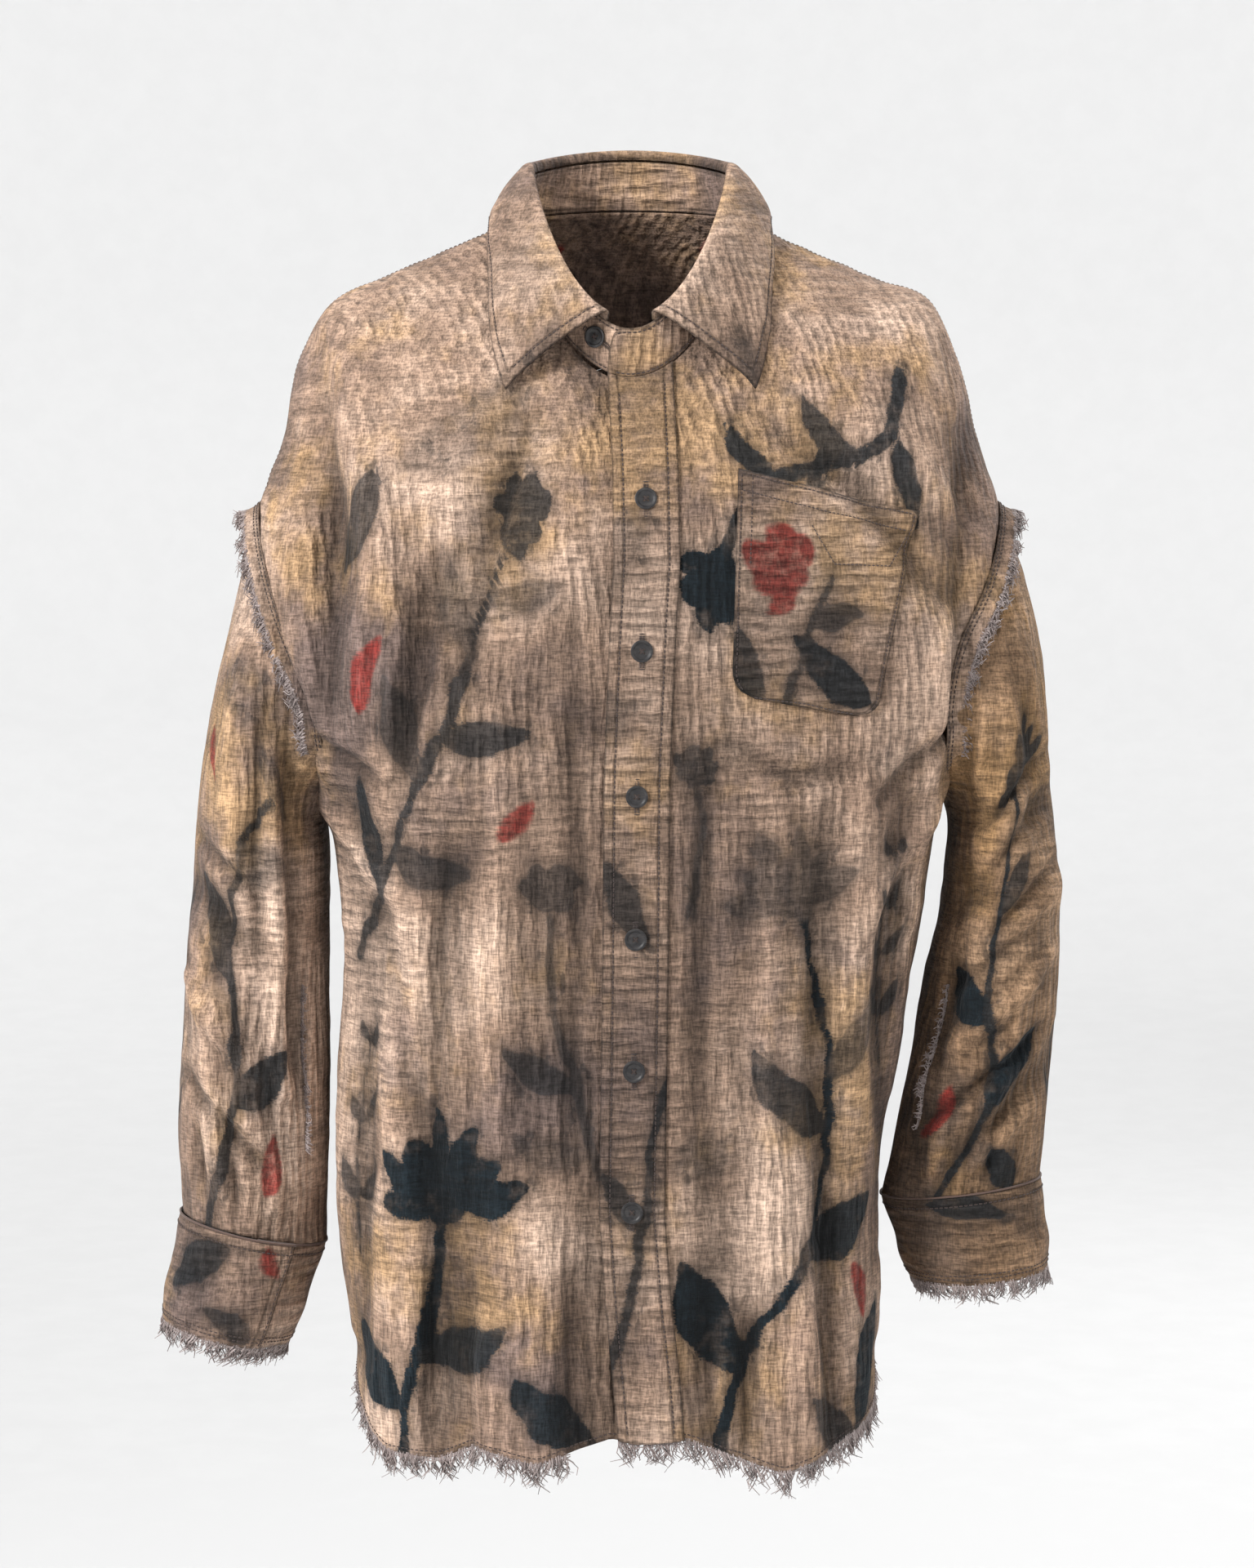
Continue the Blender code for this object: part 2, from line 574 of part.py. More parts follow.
def make_wall(name, points, normals, thickness, look, closed=False):
    """Thicken a grid of points into a cloth wall; a closed grid wraps round along its columns."""
    rows, columns = points.shape[:2]
    outer = (points + normals * thickness / 2).reshape(-1, 3)
    inner = (points - normals * thickness / 2).reshape(-1, 3)
    lower = rows * columns
    spans = columns if closed else columns - 1
    faces = []
    for row in range(rows - 1):
        for column in range(spans):
            after = (column + 1) % columns
            quad = [row * columns + column, row * columns + after,
                    (row + 1) * columns + after, (row + 1) * columns + column]
            faces += triangles(quad)
            faces += [[index + lower for index in reversed(face)] for face in triangles(quad)]
    rims = [[(0, column) for column in range(columns)], [(rows - 1, column) for column in range(columns)]]
    if not closed:
        rims += [[(row, 0) for row in range(rows)], [(row, columns - 1) for row in range(rows)]]
    for number, rim in enumerate(rims):
        pairs = zip(rim, rim[1:] + rim[:1] if closed and number < 2 else rim[1:])
        for (row_a, column_a), (row_b, column_b) in pairs:
            first, second = row_a * columns + column_a, row_b * columns + column_b
            faces += triangles([first, second, second + lower, first + lower])
    return make_object(name, np.concatenate([outer, inner]), faces, look)


def body_panel(name, patch, edges, look, offset=0.0):
    """Make one panel of the body from its places; offset is a distance out from the surface."""
    angle, level = patch[..., 0], patch[..., 1]
    normals = normals_of(body_surface, angle, level)
    points = body_surface(angle, level) + normals * np.asarray(offset)[..., None]
    points = open_edges(points, SEAM_GAP / 2, edges)
    make_wall(name, points, normals, WALL, look)
    return points, normals


def underlap_offset(patch):
    """How far the wearer's right front sinks in where it passes under the left one."""
    points = body_base(patch[..., 0], patch[..., 1])
    past_edge = points[..., 0] - (centre_x(points[..., 2]) - PLACKET_HALF_WIDTH) + UNDERLAP_FADE
    return -LAP_STEP * smooth_step(past_edge / (UNDERLAP_FADE - UNDERLAP_FLAT))


def sleeve_rings(side):
    """Points of the armhole loop and each sleeve section, all at the turns of ARM_TURNS."""
    angle, level = armhole_place(side, ARM_TURNS)
    loop = body_surface(angle, level)
    normals = normals_of(body_surface, angle, level)
    hole_centre = loop.mean(axis=0)
    inward = hole_centre - loop
    inward = unit(inward - normals * np.sum(inward * normals, axis=-1, keepdims=True))
    rings = [loop + normals * LAYER_STEP + inward * SEAM_GAP]
    for row in LEFT_SLEEVE_RINGS if side > 0 else RIGHT_SLEEVE_RINGS:
        rings.append(section_points(row, side, ARM_TURNS))
    return np.stack(rings)


def section_points(row, side, turns):
    """Points round one sleeve section, given by its outer and inner points and its depth."""
    outer = np.array([side * row.outer_x, row.middle_y, row.outer_z]) * MM
    inner = np.array([side * row.inner_x, row.middle_y, row.inner_z]) * MM
    middle, half = (outer + inner) / 2, (outer - inner) / 2
    forward = np.array([0.0, -row.half_depth * MM, 0.0])
    return middle + np.cos(turns)[:, None] * half + np.sin(turns)[:, None] * forward


def grid_normals(points, outside, closed=True):
    """Normals of a grid of points, facing outside, or away from the middle of each row where that is None."""
    if closed:
        across = np.roll(points, -1, axis=1) - np.roll(points, 1, axis=1)
    else:
        across = np.gradient(points, axis=1)
    down = np.gradient(points, axis=0)
    normals = unit(np.cross(across, down))
    away = points - points.mean(axis=1, keepdims=True) if outside is None else outside
    return normals * np.sign(np.sum(normals * away))


def sleeve_points(side):
    """Grid of sleeve points with folds, from the armhole down to the cuff seam."""
    rings = sleeve_rings(side)
    rows = SLEEVE_ROWS
    steps = np.linalg.norm(np.diff(rings.mean(axis=1), axis=0), axis=1)
    grid = spline(rings.reshape(len(rings), -1), steps, np.linspace(0, len(rings) - 1, rows + 1))
    grid = grid.reshape(rows + 1, -1, 3)
    normals = grid_normals(grid, None)
    facing = -normals[..., 1]
    key = "left" if side > 0 else "right"
    number = np.arange(rows + 1)
    ends = np.minimum(number / SLEEVE_CALM_ROWS_AT_CAP, (rows - number) / SLEEVE_CALM_ROWS_AT_WRIST)
    height = fold_height(grid, facing, SLEEVE_FOLDS[key]) * smooth_step(ends)[:, None]
    return grid + normals * height[..., None]


def make_sleeve(side, name):
    """Make one sleeve, a tube open at the armhole and at the cuff seam."""
    points = sleeve_points(side)
    points[-1] += unit(points[-2] - points[-1]) * SEAM_GAP
    make_wall(name, points, grid_normals(points, None), WALL, GAUZE, closed=True)


def cuff_point(side, turn, drop, lift):
    """A point of the cuff: drop is 0 at the sleeve seam and 1 at the raw end, lift a distance outwards."""
    top = (LEFT_SLEEVE_RINGS if side > 0 else RIGHT_SLEEVE_RINGS)[-1]
    end = LEFT_CUFF_END if side > 0 else RIGHT_CUFF_END
    turns = np.atleast_1d(turn)
    upper, lower = section_points(top, side, turns), section_points(end, side, turns)
    points = upper + (lower - upper) * drop
    middle = (section_points(top, side, np.array([0.0, math.pi])).mean(axis=0) * (1 - drop)
              + section_points(end, side, np.array([0.0, math.pi])).mean(axis=0) * drop)
    away = unit(points - middle)
    return points + away * np.asarray(lift)[..., None], away


def make_cuff(side, name):
    """Make one cuff: a strip round the wrist whose upper end laps over its under end."""
    row = CUFF_LAPS["left" if side > 0 else "right"]
    lap, ease = math.radians(row.lap_turn), math.radians(row.ease_turn)
    run = np.linspace(0.0, 2 * math.pi + lap, CUFF_COLUMNS)
    turns = math.radians(row.edge_turn) + row.way * run
    lift = LAP_STEP * (1.0 - smooth_step((run - lap) / ease))
    height = np.linalg.norm(cuff_point(side, 0.0, 1.0, [0.0])[0] - cuff_point(side, 0.0, 0.0, [0.0])[0])
    rows, aways = [], []
    for drop in np.linspace(CUFF_SEAM_GAP / height, 1.0, CUFF_ROWS + 1):
        points, away = cuff_point(side, turns, drop, lift)
        rows.append(points)
        aways.append(away)
    make_wall(name, np.stack(rows), np.stack(aways), WALL, GAUZE_DARK)


def make_stand():
    """Make the collar stand: a strip round the neckline whose ends lap at the front."""
    left_neck = front_patch(1)[-1, :NECK_COLUMNS + 1, 0]
    right_neck = front_patch(-1)[-1, :NECK_COLUMNS + 1, 0]
    back_neck = np.linspace(math.pi / 2, 3 * math.pi / 2, BACK_NECK_COLUMNS + 1)
    angle = np.concatenate([left_neck, back_neck[1:-1], right_neck[::-1] + 2 * math.pi])
    root = split_line(body_surface(angle, np.zeros(len(angle))), 2)
    angle = split_line(angle, 2)
    lift = -LAP_STEP * smooth_step((angle - 2 * math.pi - STAND_LAP_FROM) / STAND_LAP_EASE)
    crown = ring_points(np.tile(numbers([STAND_TOP]), (len(angle), 1)), angle)
    rise = unit(crown - root)
    root = root + rise * STAND_ROOT_GAP
    around = np.gradient(root, axis=0)
    away = unit(np.cross(around, rise))
    # The over end is rounded: its first column is shorter than the rest.
    spans = np.ones(len(angle))
    spans[0] = STAND_ROUNDED_END
    rows = [root + (crown - root) * (share * spans)[:, None] for share in (0.0, 0.5, 1.0)]
    points = np.stack(rows) + (away * lift[:, None])[None]
    make_wall("collar_stand", points, np.stack([away] * 3), WALL, GAUZE_DARK)
    return points, away


def fall_half(side):
    """Crest and edge places of half the collar, from the back centre to its point."""
    table = numbers(FALL_STATIONS)
    steps = np.ones(len(table) - 1)
    rows = spline(table, steps, np.linspace(0, len(table) - 1, FALL_COLUMNS_PER_HALF + 1))
    crest, edge, level = np.radians(rows[:, 0]), np.radians(rows[:, 1]), rows[:, 2]
    return side * crest, side * edge, level


def make_fall():
    """Make the collar: a strip that rises from the stand, turns over its crest and falls to its points."""
    halves = []
    for side in (1, -1):
        crest_angle, edge_angle, level = fall_half(side)
        halves.append(np.stack([crest_angle, edge_angle, level], axis=-1))
    stations = np.concatenate([halves[0][::-1], halves[1][1:]])
    crest_angle, edge_angle, level = stations.T
    stand_top = ring_points(np.tile(numbers([STAND_TOP]), (len(stations), 1)), crest_angle)
    crest = ring_points(np.tile(numbers([COLLAR_CREST]), (len(stations), 1)), crest_angle)
    root = stand_top + unit(crest - stand_top) * FALL_ROOT_GAP
    edge_normal = normals_of(body_surface, edge_angle, level)
    edge = body_surface(edge_angle, level) + edge_normal * FALL_LIFT
    outward = unit(unit(edge - crest) * (1, 1, 0) + edge_normal)
    rows = [root, crest]
    for share in FALL_ROWS:
        bulge = FALL_BULGE * math.sqrt(4 * share * (1 - share))
        rows.append(crest + (edge - crest) * share + outward * bulge)
    points = np.stack(rows)
    normals = grid_normals(points, np.stack([outward] * len(rows)), closed=False)
    make_wall("collar_fall", points, normals, COLLAR_WALL, GAUZE)


def make_placket(points, normals):
    """Make the button strip on the wearer's left front from that panel's first two columns."""
    columns = slice(0, PLACKET_COLUMNS + 1)
    strip = points[:, columns] + normals[:, columns] * PLACKET_STEP
    make_wall("placket", strip, normals[:, columns], WALL, GAUZE)


def pocket_grid():
    """Places of the pocket: its lower corners are rounded by drawing the rows in."""
    corners = np.array(POCKET_CORNERS) * MM
    grid = np.zeros((POCKET_ROWS + 1, POCKET_COLUMNS + 1, 2))
    for row in range(POCKET_ROWS + 1):
        down = row / POCKET_ROWS
        left = corners[0] + (corners[3] - corners[0]) * down
        right = corners[1] + (corners[2] - corners[1]) * down
        height = np.linalg.norm(corners[3] - corners[0]) * (1 - down)
        inset = 0.0
        if height < POCKET_ROUNDING:
            inset = POCKET_ROUNDING - math.sqrt(max(POCKET_ROUNDING ** 2 - (POCKET_ROUNDING - height) ** 2, 0.0))
        width = np.linalg.norm(right - left)
        for column in range(POCKET_COLUMNS + 1):
            across = (inset + (width - 2 * inset) * column / POCKET_COLUMNS) / width
            x, z = left + (right - left) * across
            grid[row, column] = front_place(x, z)
    return grid


def make_pocket():
    """Make the breast pocket, a wall that lies on the wearer's left front."""
    grid = pocket_grid()
    angle, level = grid[..., 0], grid[..., 1]
    normals = normals_of(body_surface, angle, level)
    points = body_surface(angle, level) + normals * LAYER_STEP
    make_wall("pocket", points, normals, WALL, GAUZE)


def make_button(name, seat, axis):
    """Turn one rimmed button and stand it on its seat, facing along the axis."""
    vertices = [(0.0, 0.0, 0.0)]
    for row in BUTTON_ROWS:
        radius = BUTTON_RADIUS * row.radius
        height = BUTTON_THICK * row.height - BUTTON_RIM * row.sink
        for step in range(BUTTON_SIDES):
            turn = 2 * math.pi * step / BUTTON_SIDES
            vertices.append((radius * math.cos(turn), radius * math.sin(turn), height))
    vertices.append((0.0, 0.0, BUTTON_THICK - BUTTON_RIM))
    last = len(vertices) - 1
    faces = []
    for step in range(BUTTON_SIDES):
        after = (step + 1) % BUTTON_SIDES
        faces.append([0, 1 + after, 1 + step])
        for ring in range(len(BUTTON_ROWS) - 1):
            low, high = 1 + ring * BUTTON_SIDES, 1 + (ring + 1) * BUTTON_SIDES
            faces.append([low + step, low + after, high + after, high + step])
        high = 1 + (len(BUTTON_ROWS) - 1) * BUTTON_SIDES
        faces.append([high + step, high + after, last])
    turn = Vector(axis).to_track_quat("Z", "Y").to_matrix().to_4x4()
    place = Matrix.Translation(Vector(seat) + Vector(axis) * BUTTON_SEAT) @ turn
    made = make_object(name, vertices, faces, BUTTON_HORN)
    made.matrix_world = place
    return made


def make_buttons(stand_points, stand_away):
    """Seat the buttons down the placket and one on the stand."""
    top_face = PLACKET_STEP + WALL / 2
    for number, height in enumerate(FRONT_BUTTON_HEIGHTS, start=1):
        x = float(centre_x(height * MM))
        angle, level = front_place(x, height * MM)
        normal = normals_of(body_surface, np.array([angle]), np.array([level]))[0]
        seat = body_surface(np.array([angle]), np.array([level]))[0] + normal * top_face
        make_button("button_front_%d" % number, seat, normal)
    seat = stand_points[1, 1] + stand_away[1] * WALL / 2
    make_button("button_stand", seat, stand_away[1])


def split_line(points, parts):
    """Divide each span of a line of points into straight parts."""
    pieces = []
    for start, end in zip(points[:-1], points[1:]):
        for part in range(parts):
            pieces.append(start + (end - start) * part / parts)
    pieces.append(points[-1])
    return np.array(pieces)


def make_fringe(name, top, down, away, length, band, closed=False):
    """Make a frayed strip: a narrow band whose every second span is drawn out into a tapered strand.

    top is a line of points, down the way the threads hang and away the way the cloth faces, at each point.
    """
    dice = random.Random(RANDOM_SEED + len(name))
    count = len(top)
    spans = count if closed else count - 1
    half = away * WALL * 0.5
    foot = top + down * band
    vertices = [*(top + half), *(foot + half), *(foot - half), *(top - half)]
    faces = []
    for span in range(spans):
        here, after = span, (span + 1) % count
        for side in range(4):
            first, second = side * count, ((side + 1) % 4) * count
            quad = [first + here, first + after, second + after, second + here]
            if side == 1 and (span % 2 == 1) and (closed or span < spans - 1):
                along = unit(foot[after] - foot[here])
                reach = length * (SHORTEST_STRAND + (1 - SHORTEST_STRAND) * dice.random())
                lean = along * (dice.random() - 0.5) * FRAY_SPREAD * reach
                puff = away[here] * (dice.random() - 0.5) * FRAY_SPREAD * reach * FRAY_PUFF
                tip = (foot[here] + foot[after]) / 2 + down[here] * reach + lean + puff
                vertices.append(tip)
                point = len(vertices) - 1
                for number in range(4):
                    faces.append([quad[number], quad[(number + 1) % 4], point])
            elif side == 2:
                faces += triangles([quad[1], quad[2], quad[3], quad[0]])
            else:
                faces += triangles(quad)
    if not closed:
        for end in (0, count - 1):
            faces.append([side * count + end for side in range(4)])
    make_object(name, vertices, faces, FRAYED)


def hem_fringe(name, points, normals, first_column=0):
    """Fray the hem of a panel below its bottom row, from a column on."""
    points, normals = points[:, first_column:], normals[:, first_column:]
    line = split_line(points[0], 2 * HEM_STRANDS_PER_COLUMN)
    away = unit(split_line(normals[0], 2 * HEM_STRANDS_PER_COLUMN))
    down = unit(split_line(unit(points[0] - points[1]), 2 * HEM_STRANDS_PER_COLUMN))
    make_fringe(name, line + down * SEAM_GAP, down, away, FRAY_LENGTH, FRAY_BAND)


def cuff_fringe(side, name):
    """Fray the raw end of a cuff."""
    turns = np.arange(2 * CUFF_STRANDS) * math.pi / CUFF_STRANDS
    line, away = cuff_point(side, turns, 1.0, np.full(len(turns), 0.0))
    above = cuff_point(side, turns, 0.0, np.full(len(turns), 0.0))[0]
    down = unit(line - above)
    make_fringe(name, line + down * CUFF_FRAY_GAP, down, away, FRAY_LENGTH, FRAY_BAND, closed=True)


def armhole_fringe(side, name):
    """Fray the seam allowance that stands out round the front, top and back of an armhole."""
    turns = np.linspace(-ALLOWANCE_REACH, ALLOWANCE_REACH, 2 * SEAM_STRANDS)
    known = np.concatenate([ARM_TURNS_IN_ORDER, [math.pi]])
    angle, level = armhole_place(side, known)
    loop = body_surface(angle, level)
    normals = normals_of(body_surface, angle, level)
    line = np.stack([np.interp(turns, known, loop[:, axis]) for axis in range(3)], axis=-1)
    out = unit(np.stack([np.interp(turns, known, normals[:, axis]) for axis in range(3)], axis=-1))
    inward = loop.mean(axis=0) - line
    inward = unit(inward - out * np.sum(inward * out, axis=-1, keepdims=True))
    line = line - inward * ALLOWANCE_SET_BACK + out * (WALL / 2 + ALLOWANCE_GAP)
    out = unit(out - inward * ALLOWANCE_LEAN)
    away = unit(np.cross(np.gradient(line, axis=0), out))
    make_fringe(name, line, out, away, SEAM_FRAY_LENGTH, SEAM_STAND)


def sleeve_fringe(side, name):
    """Fray the seam allowance that stands out along the underside of a sleeve."""
    points = sleeve_points(side)
    normals = grid_normals(points, None)
    column = int(np.argmin(np.abs(ARM_TURNS - SLEEVE_SEAM_TURN)))
    rows = slice(SLEEVE_SEAM_FIRST_ROW, SLEEVE_ROWS - 1)
    line = split_line(points[rows, column], SLEEVE_SEAM_SPANS_PER_ROW)
    out = unit(split_line(normals[rows, column], SLEEVE_SEAM_SPANS_PER_ROW))
    away = unit(np.cross(np.gradient(line, axis=0), out))
    line = line + out * (WALL / 2 + ALLOWANCE_GAP)
    make_fringe(name, line, out, away, SEAM_FRAY_LENGTH, SLEEVE_SEAM_STAND)


def remove_old_objects():
    """Empty the scene."""
    for item in list(bpy.data.objects):
        bpy.data.objects.remove(item, do_unlink=True)


def main():
    """Build every piece of the shirt."""
    remove_old_objects()
    left_patch, right_patch, back = front_patch(1), front_patch(-1), back_patch()
    left_points, left_normals = body_panel("front_left", left_patch, ("top", "end"), GAUZE)
    right_points, right_normals = body_panel("front_right", right_patch, ("top", "end"), GAUZE,
                                             underlap_offset(right_patch))
    back_points, back_normals = body_panel("back", back, ("top", "start", "end"), GAUZE)
    body_panel("yoke", yoke_patch(), ("top", "bottom", "start", "end"), GAUZE_DARK)
    for side, key in ((-1, "right"), (1, "left")):
        make_sleeve(side, "sleeve_%s" % key)
        make_cuff(side, "cuff_%s" % key)
        cuff_fringe(side, "fray_cuff_%s" % key)
        armhole_fringe(side, "fray_armhole_%s" % key)
        sleeve_fringe(side, "fray_sleeve_%s" % key)
    make_placket(left_points, left_normals)
    make_pocket()
    stand_points, stand_away = make_stand()
    make_fall()
    make_buttons(stand_points, stand_away)
    hem_fringe("fray_hem_left", left_points, left_normals)
    hem_fringe("fray_hem_right", right_points, right_normals, HIDDEN_HEM_COLUMNS)
    hem_fringe("fray_hem_back", back_points, back_normals)


main()
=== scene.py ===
"""Dressing of an oversized button-up shirt in crinkled double gauze with a plant print.

Lengths are in metres, +Z is up, the front faces -Y and +X is the wearer's left. The body of the shirt is one
smooth surface of (angle, level): the angle runs round the body from the front centre, the level is a row of
the ring table from the neckline to the hem. Each sleeve is a second surface of (turn, share). Every piece of
cloth is a thin shell on these surfaces, with its creases, its crinkle and its print placed on it.
"""

import logging
import math
import random
from dataclasses import dataclass, field
from enum import Enum
from itertools import product
from typing import Callable, NamedTuple, Sequence

import bmesh
import bpy
import numpy as np
from mathutils import Matrix, Vector


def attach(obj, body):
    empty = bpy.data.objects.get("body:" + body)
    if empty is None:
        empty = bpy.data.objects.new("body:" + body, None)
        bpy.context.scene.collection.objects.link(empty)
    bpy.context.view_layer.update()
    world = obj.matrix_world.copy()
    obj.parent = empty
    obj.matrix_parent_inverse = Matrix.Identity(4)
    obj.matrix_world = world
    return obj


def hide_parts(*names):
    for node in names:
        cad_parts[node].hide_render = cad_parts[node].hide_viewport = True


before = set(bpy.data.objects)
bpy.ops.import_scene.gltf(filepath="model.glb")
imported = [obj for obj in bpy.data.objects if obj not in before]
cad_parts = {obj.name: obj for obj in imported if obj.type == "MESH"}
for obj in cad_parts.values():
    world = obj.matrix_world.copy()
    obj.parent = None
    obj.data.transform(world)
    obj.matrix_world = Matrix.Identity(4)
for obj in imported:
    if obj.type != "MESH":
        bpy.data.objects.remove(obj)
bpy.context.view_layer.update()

Array = np.ndarray
Piece = bpy.types.Object
Finish = bpy.types.Material
Socket = bpy.types.NodeSocket
MM = 0.001
LOG = logging.getLogger("shirt")

CLOTH_WALL = 1.0 * MM
COLLAR_WALL = 1.4 * MM
CAD_WALL = 1.2 * MM
SEAM_GAP = 0.3 * MM
LAYER_STEP = CAD_WALL + 0.75 * MM
LAP_STEP = CAD_WALL + 1.1 * MM
PLACKET_STEP = CAD_WALL + 0.45 * MM
PLACKET_HALF_WIDTH = 20 * MM


class Side(Enum):
    """The wearer's right or left, as the sign of X."""

    RIGHT = -1
    LEFT = 1

    @property
    def word(self) -> str:
        """The side's name as the nodes write it."""
        return self.name.lower()


class Edge(Enum):
    """An edge of a grid of points."""

    BOTTOM = "bottom"
    TOP = "top"
    START = "start"
    END = "end"

    def first(self, grid: Array) -> Array:
        """The same grid, turned so that this edge is its first row."""
        grid = np.swapaxes(grid, 0, 1) if self in (Edge.START, Edge.END) else grid
        return grid[::-1] if self in (Edge.TOP, Edge.END) else grid


class Ring(NamedTuple):
    """Half-widths, depths and heights of one section of the body, in mm, with its power and its drop."""

    name: str
    right: float
    left: float
    front: float
    back: float
    side_z: float
    front_z: float
    back_z: float
    square: float
    drop: float


class Fold(NamedTuple):
    """A soft ridge or trough: its path as x, z pairs in mm, its width and its depth in mm."""

    name: str
    face: str
    path: tuple
    width: float
    depth: float


class SleeveRing(NamedTuple):
    """The outermost and innermost points of a sleeve section, its middle and its half-depth, in mm."""

    name: str
    outer_x: float
    outer_z: float
    inner_x: float
    inner_z: float
    middle_y: float
    half_depth: float


class FallStation(NamedTuple):
    """A place round the collar: degrees round its crest and its outer edge's place on the body."""

    name: str
    crest_angle: float
    edge_angle: float
    edge_level: float


class CuffLap(NamedTuple):
    """Where a cuff's upper end lies, the way its strip runs on, its lap and its ease, in degrees."""

    edge_turn: float
    way: int
    lap_turn: float
    ease_turn: float


def smooth_step(value: Array) -> Array:
    """Ease from 0 to 1.

    Args:
        value: Numbers to ease, cut to the range 0 to 1.

    Returns:
        The eased numbers.
    """
    value = np.clip(value, 0.0, 1.0)
    return value * value * (3.0 - 2.0 * value)


def unit(vectors: Array) -> Array:
    """Scale vectors to length 1.

    Args:
        vectors: Vectors along the last axis.

    Returns:
        The vectors at length 1.
    """
    return vectors / np.maximum(np.linalg.norm(vectors, axis=-1, keepdims=True), 1e-12)


def numbers(rows: Sequence[tuple]) -> Array:
    """The number columns of a table of named rows as an array."""
    return np.array([[value for value in row if not isinstance(value, str)] for row in rows], dtype=float)


def spline(points: Array, steps: Array, level: Array) -> Array:
    """Read a smooth curve through rows of points.

    Args:
        points: One row of numbers for each knot.
        steps: The spacing between neighbouring knots.
        level: Fractional row numbers to read at.

    Returns:
        The rows read at each level.
    """
    level = np.asarray(level, dtype=float)
    row = np.clip(np.floor(level).astype(int), 0, len(points) - 2)
    part = (level - row)[..., None]
    weights = steps.reshape((-1,) + (1,) * (points.ndim - 1))
    slopes = np.diff(points, axis=0) / weights
    tangents = np.concatenate([slopes[:1], slopes])
    tangents[1:-1] = (slopes[:-1] * weights[1:] + slopes[1:] * weights[:-1]) / (weights[1:] + weights[:-1])
    step = weights[row].reshape(part.shape)
    square, cube = part ** 2, part ** 3
    return (
        (2 * cube - 3 * square + 1) * points[row]
        + (cube - 2 * square + part) * tangents[row] * step
        + (3 * square - 2 * cube) * points[row + 1]
        + (cube - square) * tangents[row + 1] * step
    )


def value_noise(points: Array, cell: Sequence[float], seed: int) -> Array:
    """Smooth random heights on a lattice.

    Args:
        points: Places in metres.
        cell: Size of a lattice cell along X, Y and Z, in mm.
        seed: Number that picks the pattern.

    Returns:
        Heights from -1 to 1.
    """
    place = points / (np.array(cell) * MM)
    base = np.floor(place).astype(np.int64)
    part = place - base
    part = part * part * (3.0 - 2.0 * part)
    total = np.zeros(points.shape[:-1])
    for corner in product((0, 1), repeat=3):
        spot = base + np.array(corner)
        mixed = spot[..., 0] * 73856093 ^ spot[..., 1] * 19349663 ^ spot[..., 2] * 83492791 ^ seed * 2654435761
        mixed = (mixed ^ (mixed >> 13)) * 1274126177 & 0xFFFFFFFF
        value = ((mixed ^ (mixed >> 16)) & 0xFFFF) / 32767.5 - 1.0
        weight = np.prod(np.where(np.array(corner) == 1, part, 1.0 - part), axis=-1)
        total += value * weight
    return total


def run_along(line: Array) -> Array:
    """Distance of every point of a line from its start; columns of a grid are measured each on its own."""
    steps = np.linalg.norm(np.diff(line, axis=0), axis=-1)
    return np.concatenate([np.zeros((1,) + steps.shape[1:]), np.cumsum(steps, axis=0)])


def read_along(marks: Array | float, run: Array, values: Array) -> Array:
    """Read rows of three numbers at distances along a line."""
    return np.stack([np.interp(marks, run, values[:, axis]) for axis in range(3)], axis=-1)


def path_gap(spots: Array, path: Array) -> tuple[Array, Array]:
    """Measure spots against a path.

    Args:
        spots: Flat places along the last axis.
        path: Corners of the path in the same units.

    Returns:
        The distance from the path and the share of the path's length at the nearest point.
    """
    nearest = np.full(spots.shape[:-1], np.inf)
    along = np.zeros(spots.shape[:-1])
    lengths = np.linalg.norm(np.diff(path, axis=0), axis=1)
    run = 0.0
    for start, end, length in zip(path[:-1], path[1:], lengths):
        share = np.clip(((spots - start) @ (end - start)) / length ** 2, 0.0, 1.0)
        gap = np.linalg.norm(spots - (start + share[..., None] * (end - start)), axis=-1)
        closer = gap < nearest
        nearest = np.where(closer, gap, nearest)
        along = np.where(closer, run + share * length, along)
        run += length
    return nearest, along / run


def read_folds(**tables: str) -> tuple[Fold, ...]:
    """Read folds from tables with one fold a line: width and depth, the path as x, z pairs, then its name.

    Args:
        tables: The table of each face, front or back.

    Returns:
        The folds in the order of the tables.
    """
    made = []
    for face, table in tables.items():
        for line in table.strip().splitlines():
            size, path, name = line.split(":")
            spots = [float(value) for value in path.split()]
            width, depth = map(float, size.split())
            made.append(Fold(name.strip(), face, tuple(zip(spots[::2], spots[1::2])), width, depth))
    return tuple(made)


def fold_height(points: Array, facing: Array, folds: Sequence[Fold]) -> Array:
    """Add up the heights of folds.

    Args:
        points: Places on the cloth.
        facing: +1 on the front, -1 on the back, between at the sides.
        folds: The folds that cross the cloth.

    Returns:
        Heights in metres, outwards.
    """
    height = np.zeros(points.shape[:-1])
    for fold in folds:
        nearest, along = path_gap(points[..., (0, 2)], np.array(fold.path) * MM)
        swell = 0.45 + 0.55 * np.sin(np.pi * along)
        side = facing if fold.face == "front" else -facing
        height += fold.depth * MM * swell * np.exp(-(nearest / (fold.width * MM)) ** 2) * smooth_step(side / 0.3)
    return height


def crinkle(points: Array) -> Array:
    """The gauze's own puckers: ribs down and across the cloth, and wider soft bumps.

    Args:
        points: Places on the cloth.

    Returns:
        Heights in metres, outwards.
    """
    ribs = value_noise(points, (9, 9, 55), 11)
    rows = value_noise(points, (46, 46, 9), 12)
    bumps = value_noise(points, (26, 26, 44), 13)
    wide = value_noise(points, (52, 60, 110), 14)
    return (0.50 * ribs + 0.34 * rows + 0.95 * bumps + 1.5 * wide) * MM


